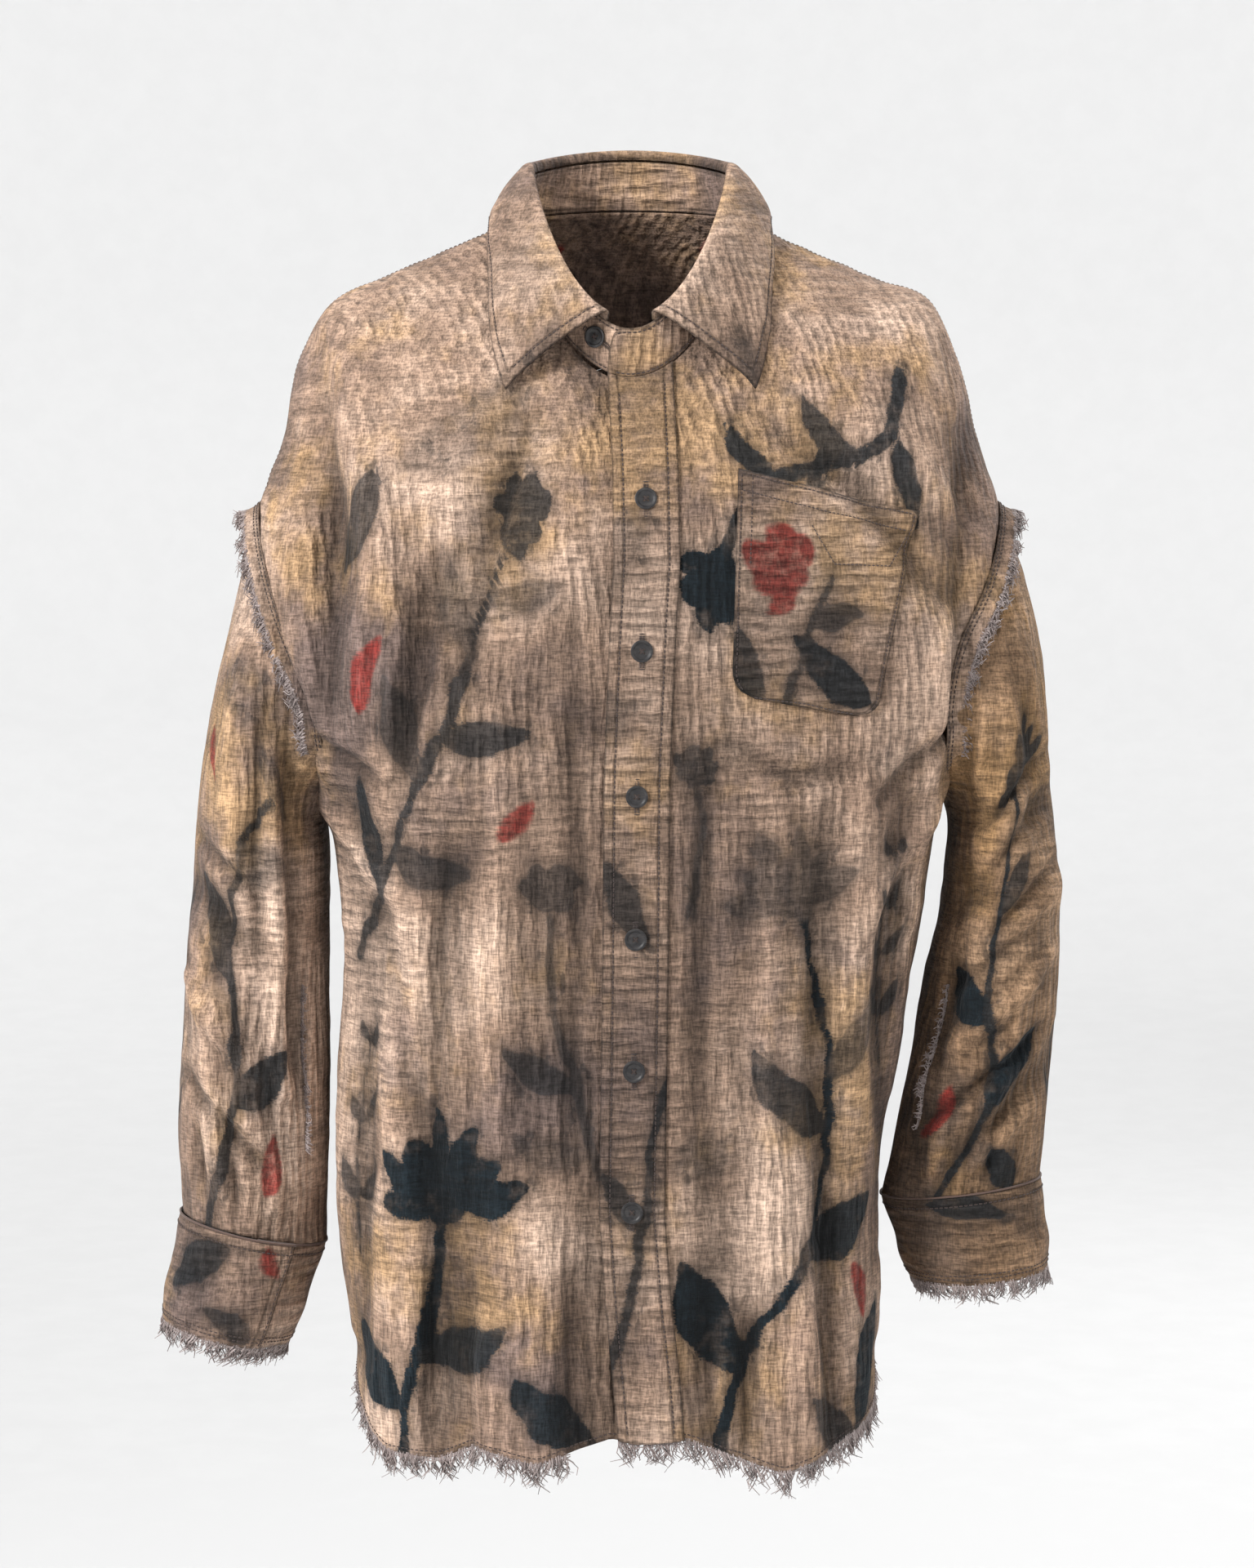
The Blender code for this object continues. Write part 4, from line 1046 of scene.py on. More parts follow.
PRINTS = read_prints("""
[front_right]
stem 8.5 6 0.95 -146 -800 -138 -720 -120 -650 -114 -610
fan -113 -598 96 165 62 7 23 0.95
leaf -142 -728 -196 -676 33 0.97 6
leaf -132 -694 -74 -672 27 0.9 -5
stem 8 7 0.85 -206 -452 -158 -392 -112 -306 -80 -204
leaf -168 -404 -186 -338 21 0.9 3
leaf -156 -386 -96 -396 21 0.75 -3
leaf -130 -340 -150 -276 20 0.7 3
leaf -116 -312 -58 -310 20 0.85 -3
leaf -98 -260 -118 -204 17 0.55 2
leaf -88 -232 -40 -222 16 0.6 -2
bloom -72 -178 21 7 0.35 1.35 0.3 0.85
stem 6 4.4 0.7 -14 -590 -34 -520 -48 -450 -46 -420
bloom -47 -402 19 6 0.35 0.9 0.1 0.7
leaf -32 -528 -78 -500 21 0.75 4
leaf -22 -566 -70 -560 17 0.5 3
leaf -86 -104 -160 -148 34 0.42 6
leaf -170 -150 -206 -214 28 0.8 5
leaf -26 -742 -72 -700 27 0.92 5
stem 5 4 0.8 -4 -800 -22 -750 -28 -738
sprig -196 -636 -190 -500 3 38 0.8 9
red_leaf -176 -300 -158 -252 20 1 4
red_leaf -60 -352 -82 -376 13 1 3
dye -70 -330 70 60 -0.4
dye -60 -150 90 60 0.5
dye -120 -520 60 70 -0.3
dye -60 -640 60 70 0.4
dye -70 -470 60 50 -0.3
[front_left]
stem 8.5 5 0.95 46 -800 66 -700 118 -604 126 -510 104 -426
leaf 68 -700 32 -628 32 0.95 6
leaf 104 -628 172 -596 32 0.92 -6
leaf 124 -556 72 -502 26 0.85 5
leaf 126 -520 172 -470 24 0.7 -4
fan 100 -412 104 160 52 6 20 0.62
stem 11 9 0.9 206 -96 176 -136 130 -150 84 -166 54 -206
leaf 186 -136 202 -192 19 0.9 3
leaf 156 -150 126 -104 18 0.85 3
leaf 120 -152 136 -198 17 0.8 3
leaf 98 -158 66 -122 16 0.9 3
bloom 50 -222 21 6 0.35 1.3 0.2 0.97
bloom 40 -330 15 7 0.4 0.9 0.9 0.8
stem 5 4 0.7 34 -420 44 -370 40 -338
sprig 186 -520 180 -380 4 34 0.8 8
stem 6 5 0.9 150 -800 156 -740 160 -720
leaf 156 -742 188 -668 30 0.95 4
leaf 154 -760 112 -716 25 0.8 4
bloom 44 -566 17 8 0.45 0.8 0.5 0.5
red_leaf 150 -640 168 -676 17 1 3
dye 90 -130 90 60 0.8
dye 60 -400 60 70 -0.3
dye 130 -560 60 80 0.5
dye 80 -700 60 50 0.4
dye 60 -250 40 50 0.4
[placket]
stem 6.5 5 0.85 -18 -716 2 -640 14 -560 22 -520
leaf 12 -440 -14 -386 17 0.8 2
leaf -6 -214 14 -168 14 0.4 2
leaf 6 -610 -18 -574 14 0.8 2
bloom -12 -300 11 6 0.4 1 0.2 0.5
dye 4 -520 40 90 -0.3
dye 8 -160 40 70 0.6
dye 4 -330 40 60 0.3
[pocket]
leaf 150 -292 100 -252 25 0.9 4
leaf 78 -300 66 -246 19 0.85 3
stem 6 4.4 0.8 92 -300 110 -250 128 -214
leaf 112 -246 150 -238 15 0.75 2
red_bloom 92 -206 25 5 0.25 0.85 0.4 1
red_leaf 100 -214 82 -240 15 1 2
dye 130 -190 50 30 0.7
[back]
stem 8.5 5 0.95 60 -800 34 -650 -40 -480 -34 -330 8 -232
fan 12 -218 82 165 64 7 22 0.85
leaf 38 -660 104 -612 34 0.95 6
leaf 6 -590 -62 -556 32 0.9 -6
leaf -34 -486 24 -430 28 0.85 5
leaf -42 -420 -98 -366 26 0.8 -5
leaf -34 -340 22 -318 22 0.7 4
stem 7.5 5 0.9 -140 -800 -154 -680 -132 -560 -122 -520
fan -120 -508 98 150 50 6 19 0.9
leaf -150 -690 -96 -650 26 0.85 4
leaf -148 -620 -192 -560 25 0.8 4
stem 7 4.5 0.9 150 -800 164 -620 122 -450 138 -320
leaf 162 -640 202 -574 26 0.9 4
leaf 146 -540 88 -520 24 0.75 -4
leaf 124 -450 176 -408 22 0.85 4
bloom 140 -300 22 7 0.35 1.35 0.2 0.9
sprig -186 -400 -160 -240 4 34 0.75 8
sprig 196 -330 170 -190 3 32 0.75 -8
leaf -70 -150 -140 -196 30 0.4 5
leaf 90 -180 60 -240 22 0.55 4
red_leaf -60 -300 -84 -262 20 1 3
red_bloom 84 -376 20 5 0.25 0.85 0.4 1
dye -80 -330 80 70 -0.3
dye 70 -200 90 60 0.6
dye -60 -620 70 80 0.4
dye 100 -560 70 90 -0.4
dye 0 -480 60 60 0.3
[yoke]
leaf -86 -24 -160 -60 30 0.9 5
leaf -160 -56 -216 -120 27 0.9 4
stem 6 4.5 0.85 -50 -30 -110 -46 -200 -112
leaf 96 -26 150 -74 24 0.85 -4
bloom 30 -66 20 7 0.4 0.8 0.3 0.8
stem 6 4 0.85 60 -22 120 -60 206 -140
leaf 150 -86 214 -110 23 0.85 3
red_leaf -66 -8 -104 -22 15 1 2
red_leaf 72 -10 112 -26 14 1 2
dye -120 -60 90 60 0.4
dye 120 -60 90 60 0.6
[sleeve_right]
stem 7.5 5 0.85 60 430 92 330 80 220 112 120
leaf 90 340 136 300 26 0.9 4
leaf 84 270 40 226 25 0.8 4
leaf 84 200 130 160 22 0.55 3
bloom 116 100 22 7 0.4 0.9 0.2 0.55
leaf 56 96 84 40 22 0.4 3
stem 7 4.6 0.85 -60 430 -90 300 -62 180 -88 90
leaf -86 300 -132 256 26 0.9 3
leaf -68 210 -24 168 24 0.8 3
bloom -90 74 22 7 0.4 0.9 0.2 0.7
sprig 4 400 8 240 4 34 0.8 7
red_leaf 116 392 128 350 19 1 3
red_leaf 40 130 60 158 13 1 2
dye 90 130 60 70 0.35
dye 90 330 50 60 -0.3
dye -80 200 60 90 0.3
[sleeve_left]
stem 7.5 5 0.9 130 430 96 350 112 250 84 150
fan 82 138 258 150 46 6 18 0.85
leaf 100 350 54 312 27 0.95 4
leaf 110 290 150 240 25 0.95 4
leaf 104 220 66 198 20 0.8 3
leaf 60 420 86 382 22 0.9 3
stem 7 4.6 0.85 -90 430 -66 300 -96 190 -72 90
leaf -70 310 -24 264 25 0.9 3
leaf -90 220 -136 170 24 0.8 3
bloom -72 70 22 6 0.4 0.9 0.2 0.75
sprig 2 400 6 260 3 34 0.85 7
red_leaf 130 330 150 368 16 1 3
dye 80 110 80 70 0.6
dye 90 260 60 60 -0.3
dye -80 240 70 90 -0.3
[cuff_right]
leaf 64 8 26 46 25 0.85 3
bloom -60 30 17 6 0.4 1 0.3 0.8
leaf 92 62 56 50 15 0.8 2
red_leaf 84 2 100 20 11 1 2
dye 80 30 40 30 -0.4
[cuff_left]
leaf 96 4 50 20 18 0.85 3
leaf -60 10 -90 44 22 0.8 3
dye 60 30 50 30 -0.5
dye -60 30 50 30 0.3
[collar_stand]
dye 0 -80 40 40 0.3
[collar_fall]
leaf -62 -64 -84 -100 14 0.35 2
leaf 96 -70 80 -112 13 0.5 2
dye -60 -60 60 60 0.4
dye 60 -60 60 60 0.6
""")


class NodeBench:
    """Adds and joins the shader nodes of one material."""

    def __init__(self, name: str) -> None:
        """Start a material with its shader joined to its output.

        Args:
            name: The material's name.
        """
        self.material = bpy.data.materials.new(name)
        self.material.use_nodes = True
        self.tree = self.material.node_tree
        self.tree.nodes.clear()
        self.shader = self.node("BsdfPrincipled")
        self.node("OutputMaterial", {0: self.shader.outputs[0]})
        self.coordinates = self.node("TexCoord").outputs["Object"]

    def fill(self, node: bpy.types.Node, inputs: dict) -> None:
        """Join inputs of a node to sockets, or set their values.

        Args:
            node: The node.
            inputs: A socket or a value for each input's name or number.
        """
        for name, value in inputs.items():
            if isinstance(value, Socket):
                self.tree.links.new(value, node.inputs[name])
            else:
                node.inputs[name].default_value = value

    def node(self, kind: str, inputs: dict | None = None, **settings: object) -> bpy.types.Node:
        """Add a node.

        Args:
            kind: Its type, as Blender names it after "ShaderNode".
            inputs: A socket or a value for each input's name or number.
            settings: Its own settings.

        Returns:
            The new node.
        """
        node = self.tree.nodes.new(f"ShaderNode{kind}")
        for name, value in settings.items():
            setattr(node, name, value)
        self.fill(node, inputs or {})
        return node

    def finish(self, inputs: dict) -> Finish:
        """Fill the shader's inputs and hand over the material."""
        self.fill(self.shader, inputs)
        return self.material

    def math(self, operation: str, first: object, second: object = 0.0) -> Socket:
        """Result of a sum on two sockets or values."""
        return self.node("Math", {0: first, 1: second}, operation=operation).outputs[0]

    def stretched(self, scale: tuple, tilt: float = 0.0) -> Socket:
        """Object coordinates turned about Y and stretched along each axis."""
        inputs = {"Scale": scale, "Rotation": (0.0, tilt, 0.0), "Vector": self.coordinates}
        return self.node("Mapping", inputs).outputs[0]

    def noise(self, vector: object, scale: float = 1.0, detail: float = 2.0, rough: float = 0.5) -> Socket:
        """Value of a noise texture, from 0 to 1."""
        inputs = {"Vector": vector, "Scale": scale, "Detail": detail, "Roughness": rough}
        return self.node("TexNoise", inputs).outputs[0]

    def pleats(self, way: tuple, cell: tuple, swing: float) -> Socket:
        """Soft parallel ridges that wander and fade, from -1 to 1.

        Args:
            way: Turns per metre along each axis, in radians.
            cell: How fast the ridges wander along each axis.
            swing: How far they wander.

        Returns:
            The height of the ridges.
        """
        run = self.node("VectorMath", {0: self.coordinates, 1: way}, operation="DOT_PRODUCT").outputs["Value"]
        wander = self.math("MULTIPLY", self.noise(self.stretched(cell)), swing)
        fade = self.ramp(self.noise(self.coordinates, 28.0), 0.36, 0.60, 0.25, 1.0)
        return self.math("MULTIPLY", self.math("SINE", self.math("ADD", run, wander)), fade)

    def ramp(self, value: object, low: float, high: float, out_low: float = 0.0, out_high: float = 1.0) -> Socket:
        """Ease a value from one range to another."""
        ranges = {"Value": value, "From Min": low, "From Max": high, "To Min": out_low, "To Max": out_high}
        return self.node("MapRange", ranges, interpolation_type="SMOOTHSTEP").outputs[0]

    def mix(self, factor: object, first: object, second: object, blend: str = "MIX") -> Socket:
        """Mix two colours."""
        first, second = (value if isinstance(value, Socket) else (*value, 1.0) for value in (first, second))
        return self.node("Mix", {0: factor, 6: first, 7: second}, data_type="RGBA", blend_type=blend).outputs[2]

    def attribute(self, name: str) -> Socket:
        """A number that the mesh carries."""
        return self.node("Attribute", attribute_name=name).outputs["Fac"]

    def bump(self, height: object, strength: float, distance: float) -> Socket:
        """The surface's facing, raised by a height."""
        return self.node("Bump", {"Strength": strength, "Distance": distance, "Height": height}).outputs[0]


@dataclass(frozen=True)
class GauzeFinish:
    """Crinkled double gauze: mottled dye, slubs, ribs and a soft plant print, with painted shade and highlight on its
    crinkle, folds and seams.
    """

    name: str
    pale: tuple = (0.435, 0.312, 0.238)
    middle: tuple = (0.250, 0.166, 0.118)
    ochre: tuple = (0.325, 0.203, 0.105)
    mauve: tuple = (0.128, 0.090, 0.076)
    ink: tuple = (0.006, 0.010, 0.013)
    red: tuple = (0.170, 0.018, 0.014)
    tilt: float = 0.0
    rib_scale: tuple = (150, 150, 30)
    row_scale: tuple = (34, 34, 190)
    warp_scale: tuple = (900, 900, 150)
    weft_scale: tuple = (150, 150, 900)
    rib_pleats: tuple = ((840, 560, 0), (26, 26, 14), 15.0)
    row_pleats: tuple = ((0, 0, 800), (15, 15, 26), 15.0)
    # ramps of painted shading in the base colour: crinkle, fold relief, stitched edges and stitch grooves; the slub
    # ramp is the yarn's own tone
    crinkle_painted_shading: tuple = (0.36, 0.64, 0.74, 1.20)
    relief_painted_shading: tuple = (-2.8, 4.8, 0.42, 1.34)
    edge_painted_shadow: tuple = (0.0, 1.6, 0.42, 1.0)
    stitch_groove_painted_shade: tuple = (0.0, 1.5, 0.62, 1.0)
    slub_shade: tuple = (0.36, 0.64, 0.60, 1.42)
    bump_depth: float = 0.0068

    def material(self) -> Finish:
        """Build the finish as a node material.

        Returns:
            The material.
        """
        bench = NodeBench(self.name)
        ribs = bench.noise(bench.stretched(self.rib_scale, self.tilt))
        rows = bench.noise(bench.stretched(self.row_scale, self.tilt))
        ribs = bench.math("ADD", ribs, bench.math("MULTIPLY", bench.pleats(*self.rib_pleats), 0.10))
        rows = bench.math("ADD", rows, bench.math("MULTIPLY", bench.pleats(*self.row_pleats), 0.13))
        warp = bench.noise(bench.stretched(self.warp_scale, self.tilt), rough=0.6)
        weft = bench.noise(bench.stretched(self.weft_scale, self.tilt), rough=0.6)
        rim, inset = bench.attribute("rim"), bench.attribute("inset")
        # the mottled dye, from mauve over tan to ochre
        cloud = bench.noise(bench.coordinates, 7.0, 5.0, 0.62)
        stain = bench.noise(bench.stretched((13, 13, 10)), 1.0, 4.0, 0.65)
        dye = bench.attribute("dye")
        light = bench.math("ADD", cloud, bench.math("MULTIPLY", dye, 0.10))
        colour = bench.mix(bench.ramp(light, 0.33, 0.52), self.mauve, self.middle)
        colour = bench.mix(bench.ramp(light, 0.46, 0.66), colour, self.pale)
        warm = bench.math("ADD", stain, bench.math("MULTIPLY", dye, 0.16))
        colour = bench.mix(bench.ramp(warm, 0.50, 0.66, 0.0, 0.8), colour, self.ochre)
        smoke = bench.noise(bench.stretched((17, 17, 12)), 1.0, 4.0, 0.7)
        cool = bench.math("SUBTRACT", smoke, bench.math("MULTIPLY", dye, 0.14))
        colour = bench.mix(bench.ramp(cool, 0.55, 0.72, 0.0, 0.6), colour, self.mauve)
        # the print, whose edge bleeds along the threads
        bleed = bench.math("MULTIPLY", bench.math("SUBTRACT", weft, 0.5), 5.0)
        edge = bench.math("ADD", bench.attribute("ink"), bleed)
        edge = bench.math("ADD", edge, bench.math("MULTIPLY", bench.math("SUBTRACT", warp, 0.5), 4.0))
        body = bench.ramp(edge, -1.8, 0.8)
        halo = bench.ramp(edge, -9.0, 1.0, 0.0, 0.38)
        dots = bench.ramp(bench.noise(bench.stretched((90, 90, 60)), 1.0, 3.0, 0.6), 0.55, 0.63, 0.0, 0.6)
        halo = bench.math("MAXIMUM", halo, bench.math("MULTIPLY", dots, bench.ramp(edge, -11.0, -3.0)))
        worn = bench.ramp(bench.noise(bench.coordinates, 34.0, 4.0, 0.65), 0.28, 0.50, 0.84, 1.06)
        strength = bench.math("MULTIPLY", bench.math("MULTIPLY", body, worn), bench.attribute("tone"))
        strength = bench.math("MAXIMUM", strength, bench.math("MULTIPLY", halo, worn))
        speck = bench.noise(bench.coordinates, 120.0, 3.0, 0.7)
        petal_edge = bench.math("ADD", bench.attribute("petal"), bleed)
        petal = bench.math("MULTIPLY", bench.ramp(petal_edge, -2.2, 2.2), bench.ramp(speck, 0.2, 0.6, 0.6, 0.92))
        colour = bench.mix(petal, colour, self.red)
        colour = bench.mix(strength, colour, self.ink)
        # ribs or rows of puckers, then painted shading: crinkle and folds darker in their troughs and lighter on their
        # ridges, painted shadow at stitched edges and in stitch grooves; last the slubs' own tone
        turn = bench.ramp(bench.noise(bench.coordinates, 9.0), 0.38, 0.62, -0.35, 0.35)
        share = bench.math("ADD", bench.attribute("puckers"), turn)
        share = bench.math("MINIMUM", bench.math("MAXIMUM", share, 0.0), 1.0)
        across = bench.math("MULTIPLY", rows, share)
        along = bench.math("MULTIPLY", ribs, bench.math("SUBTRACT", 1.0, share))
        thread = bench.math("ADD", across, along)
        # painted shading: the crinkle's troughs darker and its ridges lighter in the base colour
        shade = bench.ramp(thread, *self.crinkle_painted_shading)
        # painted shading: folds and creases darker in their troughs and lighter on their ridges, read from the relief
        # height
        shade = bench.math("MULTIPLY", shade, bench.ramp(bench.attribute("relief"), *self.relief_painted_shading))
        # painted shadow: darker within 1.6 mm of a stitched edge
        shade = bench.math("MULTIPLY", shade, bench.ramp(rim, *self.edge_painted_shadow))
        near = bench.math("ABSOLUTE", bench.math("SUBTRACT", rim, inset))
        groove = bench.ramp(near, 0.0, 1.7)
        # painted shade: darker along the groove of each stitched line
        shade = bench.math("MULTIPLY", shade, bench.ramp(near, *self.stitch_groove_painted_shade))
        slub = bench.math("ADD", bench.math("MULTIPLY", warp, 0.5), bench.math("MULTIPLY", weft, 0.5))
        shade = bench.math("MULTIPLY", shade, bench.ramp(slub, *self.slub_shade))
        grey = bench.node("CombineColor", {0: shade, 1: shade, 2: shade})
        colour = bench.mix(1.0, colour, grey.outputs[0], "MULTIPLY")
        height = bench.math("ADD", thread, bench.math("MULTIPLY", slub, 0.22))
        height = bench.math("ADD", height, bench.math("MULTIPLY", groove, 0.12))
        return bench.finish({"Base Color": colour, "Normal": bench.bump(height, 1.0, self.bump_depth),
                             "Roughness": 0.93, "Sheen Weight": 0.04, "Sheen Roughness": 0.6,
                             "Specular IOR Level": 0.2})


@dataclass(frozen=True)
class ThreadFinish:
    """Cotton thread: two tones mixed by the number that each thread carries."""

    name: str
    first: tuple
    second: tuple

    def material(self) -> Finish:
        """Build the finish as a node material.

        Returns:
            The material.
        """
        bench = NodeBench(self.name)
        fuzz = bench.noise(bench.coordinates, 900.0, 2.0, 0.6)
        share = bench.math("MULTIPLY", bench.attribute("shade"), 0.85)
        share = bench.math("ADD", share, bench.math("MULTIPLY", fuzz, 0.15))
        return bench.finish({"Base Color": bench.mix(share, self.first, self.second), "Roughness": 0.85,
                             "Sheen Weight": 0.2, "Normal": bench.bump(fuzz, 0.4, 0.0003)})


@dataclass(frozen=True)
class ButtonFinish:
    """Dark horn-like button: faint smoky streaks and a satin polish."""

    name: str = "dark_button"
    dark: tuple = (0.010, 0.009, 0.010)
    smoky: tuple = (0.036, 0.032, 0.031)

    def material(self) -> Finish:
        """Build the finish as a node material.

        Returns:
            The material.
        """
        bench = NodeBench(self.name)
        streaks = bench.noise(bench.stretched((160, 420, 420)), 1.0, 4.0, 0.6)
        colour = bench.mix(bench.ramp(streaks, 0.42, 0.68), self.dark, self.smoky)
        scuffs = bench.noise(bench.coordinates, 1400.0, 3.0, 0.6)
        return bench.finish({"Base Color": colour, "Roughness": bench.ramp(scuffs, 0.3, 0.7, 0.32, 0.5),
                             "Normal": bench.bump(scuffs, 0.25, 0.0002)})


def deselect_all() -> None:
    """Leave nothing selected."""
    for item in bpy.context.selected_objects:
        item.select_set(False)


def link_mesh(name: str, vertices: Array, faces: list, material: Finish, recalc: bool = True) -> Piece:
    """Make an object of vertices and faces.

    Args:
        name: The piece's name.
        vertices: Points in metres.
        faces: Vertex numbers of each face.
        material: The finish.
        recalc: Whether the faces are turned outwards.

    Returns:
        The new object.
    """
    mesh = bpy.data.meshes.new(name)
    mesh.from_pydata(np.asarray(vertices, dtype=float).tolist(), [], faces)
    if recalc:
        work = bmesh.new()
        work.from_mesh(mesh)
        bmesh.ops.recalc_face_normals(work, faces=work.faces[:])
        work.to_mesh(mesh)
        work.free()
    mesh.shade_smooth()
    mesh.materials.append(material)
    made = bpy.data.objects.new(name, mesh)
    bpy.context.scene.collection.objects.link(made)
    return made


def add_number(piece: Piece, name: str, values: Array) -> None:
    """Store one number for each vertex."""
    layer = piece.data.attributes.new(name, "FLOAT", "POINT").data
    layer.foreach_set("value", np.asarray(values, dtype=np.float32).ravel())


@dataclass
class ClothGrid:
    """One piece of cloth as a grid of points with its normals, print places and edges."""

    name: str
    points: Array
    normals: Array
    spots: Array
    closed: bool = False
    wall: float = CLOTH_WALL
    stitched: tuple = ()
    inset: float = 2.0
    rows_of_puckers: float = 0.3

    def edge_distance(self, edge: Edge) -> Array:
        """Distance of every point from an edge, in mm.

        Args:
            edge: The edge.

        Returns:
            Distances in mm.
        """
        run = run_along(edge.first(self.points)) / MM
        run = run[::-1] if edge in (Edge.TOP, Edge.END) else run
        return run.T if edge in (Edge.START, Edge.END) else run

    def relief(self, passes: int = 80) -> Array:
        """Height of every point above the cloth's own smoothed form, in mm.

        Args:
            passes: How many times the form is smoothed.

        Returns:
            The heights: below zero in a trough and above it on a ridge.
        """
        soft = self.points
        for _ in range(passes):
            for axis in (0, 1):
                turned = np.moveaxis(soft, axis, 0)
                if axis == 1 and self.closed:
                    before, after = np.roll(turned, 1, axis=0), np.roll(turned, -1, axis=0)
                else:
                    before = np.concatenate([2 * turned[:1] - turned[1:2], turned[:-1]])
                    after = np.concatenate([turned[1:], 2 * turned[-1:] - turned[-2:-1]])
                soft = np.moveaxis((before + 2 * turned + after) / 4, 0, axis)
        return np.sum((self.points - soft) * self.normals, axis=-1) / MM

    def shell(self, material: Finish) -> Piece:
        """Thicken the grid into a thin closed shell that carries its print.

        Args:
            material: The finish of the cloth.

        Returns:
            The finished piece.
        """
        rows, columns = self.points.shape[:2]
        lower = rows * columns
        outer = (self.points + self.normals * self.wall / 2).reshape(-1, 3)
        inner = (self.points - self.normals * self.wall / 2).reshape(-1, 3)
        number = np.arange(lower).reshape(rows, columns)
        after = np.roll(number, -1, axis=1) if self.closed else number[:, 1:]
        here = number if self.closed else number[:, :-1]
        quads = np.stack([here[:-1], after[:-1], after[1:], here[1:]], axis=-1).reshape(-1, 4)
        faces = quads.tolist() + (quads[:, ::-1] + lower).tolist()
        rims = [(number[0], False), (number[-1], True)]
        if not self.closed:
            rims += [(number[:, 0], True), (number[:, -1], False)]
        for rim, flip in rims:
            line = np.append(rim, rim[0]) if self.closed else rim
            for first, second in zip(line[:-1].tolist(), line[1:].tolist()):
                quad = [second, first, first + lower, second + lower]
                faces.append(quad[::-1] if flip else quad)
        made = link_mesh(f"{self.name}_cloth", np.concatenate([outer, inner]), faces, material, False)
        work = bmesh.new()
        work.from_mesh(made.data)
        if work.calc_volume(signed=True) < 0:
            bmesh.ops.reverse_faces(work, faces=work.faces[:])
            work.to_mesh(made.data)
        work.free()
        marks = PRINTS.get(self.name, Print()).marks(self.spots)
        shape = self.points.shape[:2]
        distances = [self.edge_distance(edge) for edge in self.stitched]
        # distance to stitched edges, from which the finish paints shadow at the edges and in the stitch grooves
        marks["rim"] = np.minimum.reduce([np.full(shape, 99.0), *distances])
        marks["inset"] = np.full(shape, self.inset)
        # relief height, from which the finish paints shade into troughs and highlight onto ridges
        marks["relief"] = self.relief()
        marks["puckers"] = np.full(shape, self.rows_of_puckers)
        for key, values in marks.items():
            add_number(made, key, np.concatenate([values.ravel(), values.ravel()]))
        return made

    def area(self) -> float:
        """The cloth's area in square metres.

        Returns:
            The area.
        """
        points = np.concatenate([self.points, self.points[:, :1]], axis=1) if self.closed else self.points
        across, down = points[:-1, 1:] - points[:-1, :-1], points[1:, :-1] - points[:-1, :-1]
        return float(np.linalg.norm(np.cross(across, down), axis=-1).sum())

    def line(self, edge: Edge, inset: float, first: int = 0, last: int | None = None) -> tuple[Array, Array]:
        """A line that runs beside an edge.

        Args:
            edge: The edge that it follows.
            inset: Its distance from the edge.
            first: Where it starts along the edge.
            last: Where it ends along the edge.

        Returns:
            Points of the line and the cloth's normals there.
        """
        points = edge.first(self.points)[:, first:last]
        normals = edge.first(self.normals)[:, first:last]
        run = run_along(points)
        line, facing = [], []
        for column in range(points.shape[1]):
            row = np.interp(inset, run[:, column], np.arange(len(run)))
            low = min(int(row), len(run) - 2)
            part = row - low
            line.append(points[low, column] * (1 - part) + points[low + 1, column] * part)
            facing.append(normals[low, column])
        return np.array(line), np.array(facing)


def drawn_back(points: Array, edges: Sequence[Edge]) -> Array:
    """Draw the named edges of a grid back from their seam.

    Args:
        points: Rows and columns of points.
        edges: The edges that lie on a seam.

    Returns:
        The grid with half the seam's gap at each of these edges.
    """
    drawn = points.copy()
    for edge in edges:
        row, inner = edge.first(points)[:2]
        edge.first(drawn)[0] += unit(inner - row) * SEAM_GAP / 2
    return drawn


def body_spots(points: Array) -> Array:
    """Flat print places of the body in mm: x runs on round the sides, z down.

    Args:
        points: Places on the cloth.

    Returns:
        The flat places.
    """
    x, y, z = points[..., 0], points[..., 1], points[..., 2]
    round_side = np.tanh(x / 0.05) * np.maximum(0.120 - np.abs(y), 0.0) * 0.75
    return np.stack([x + round_side, z], axis=-1) / MM


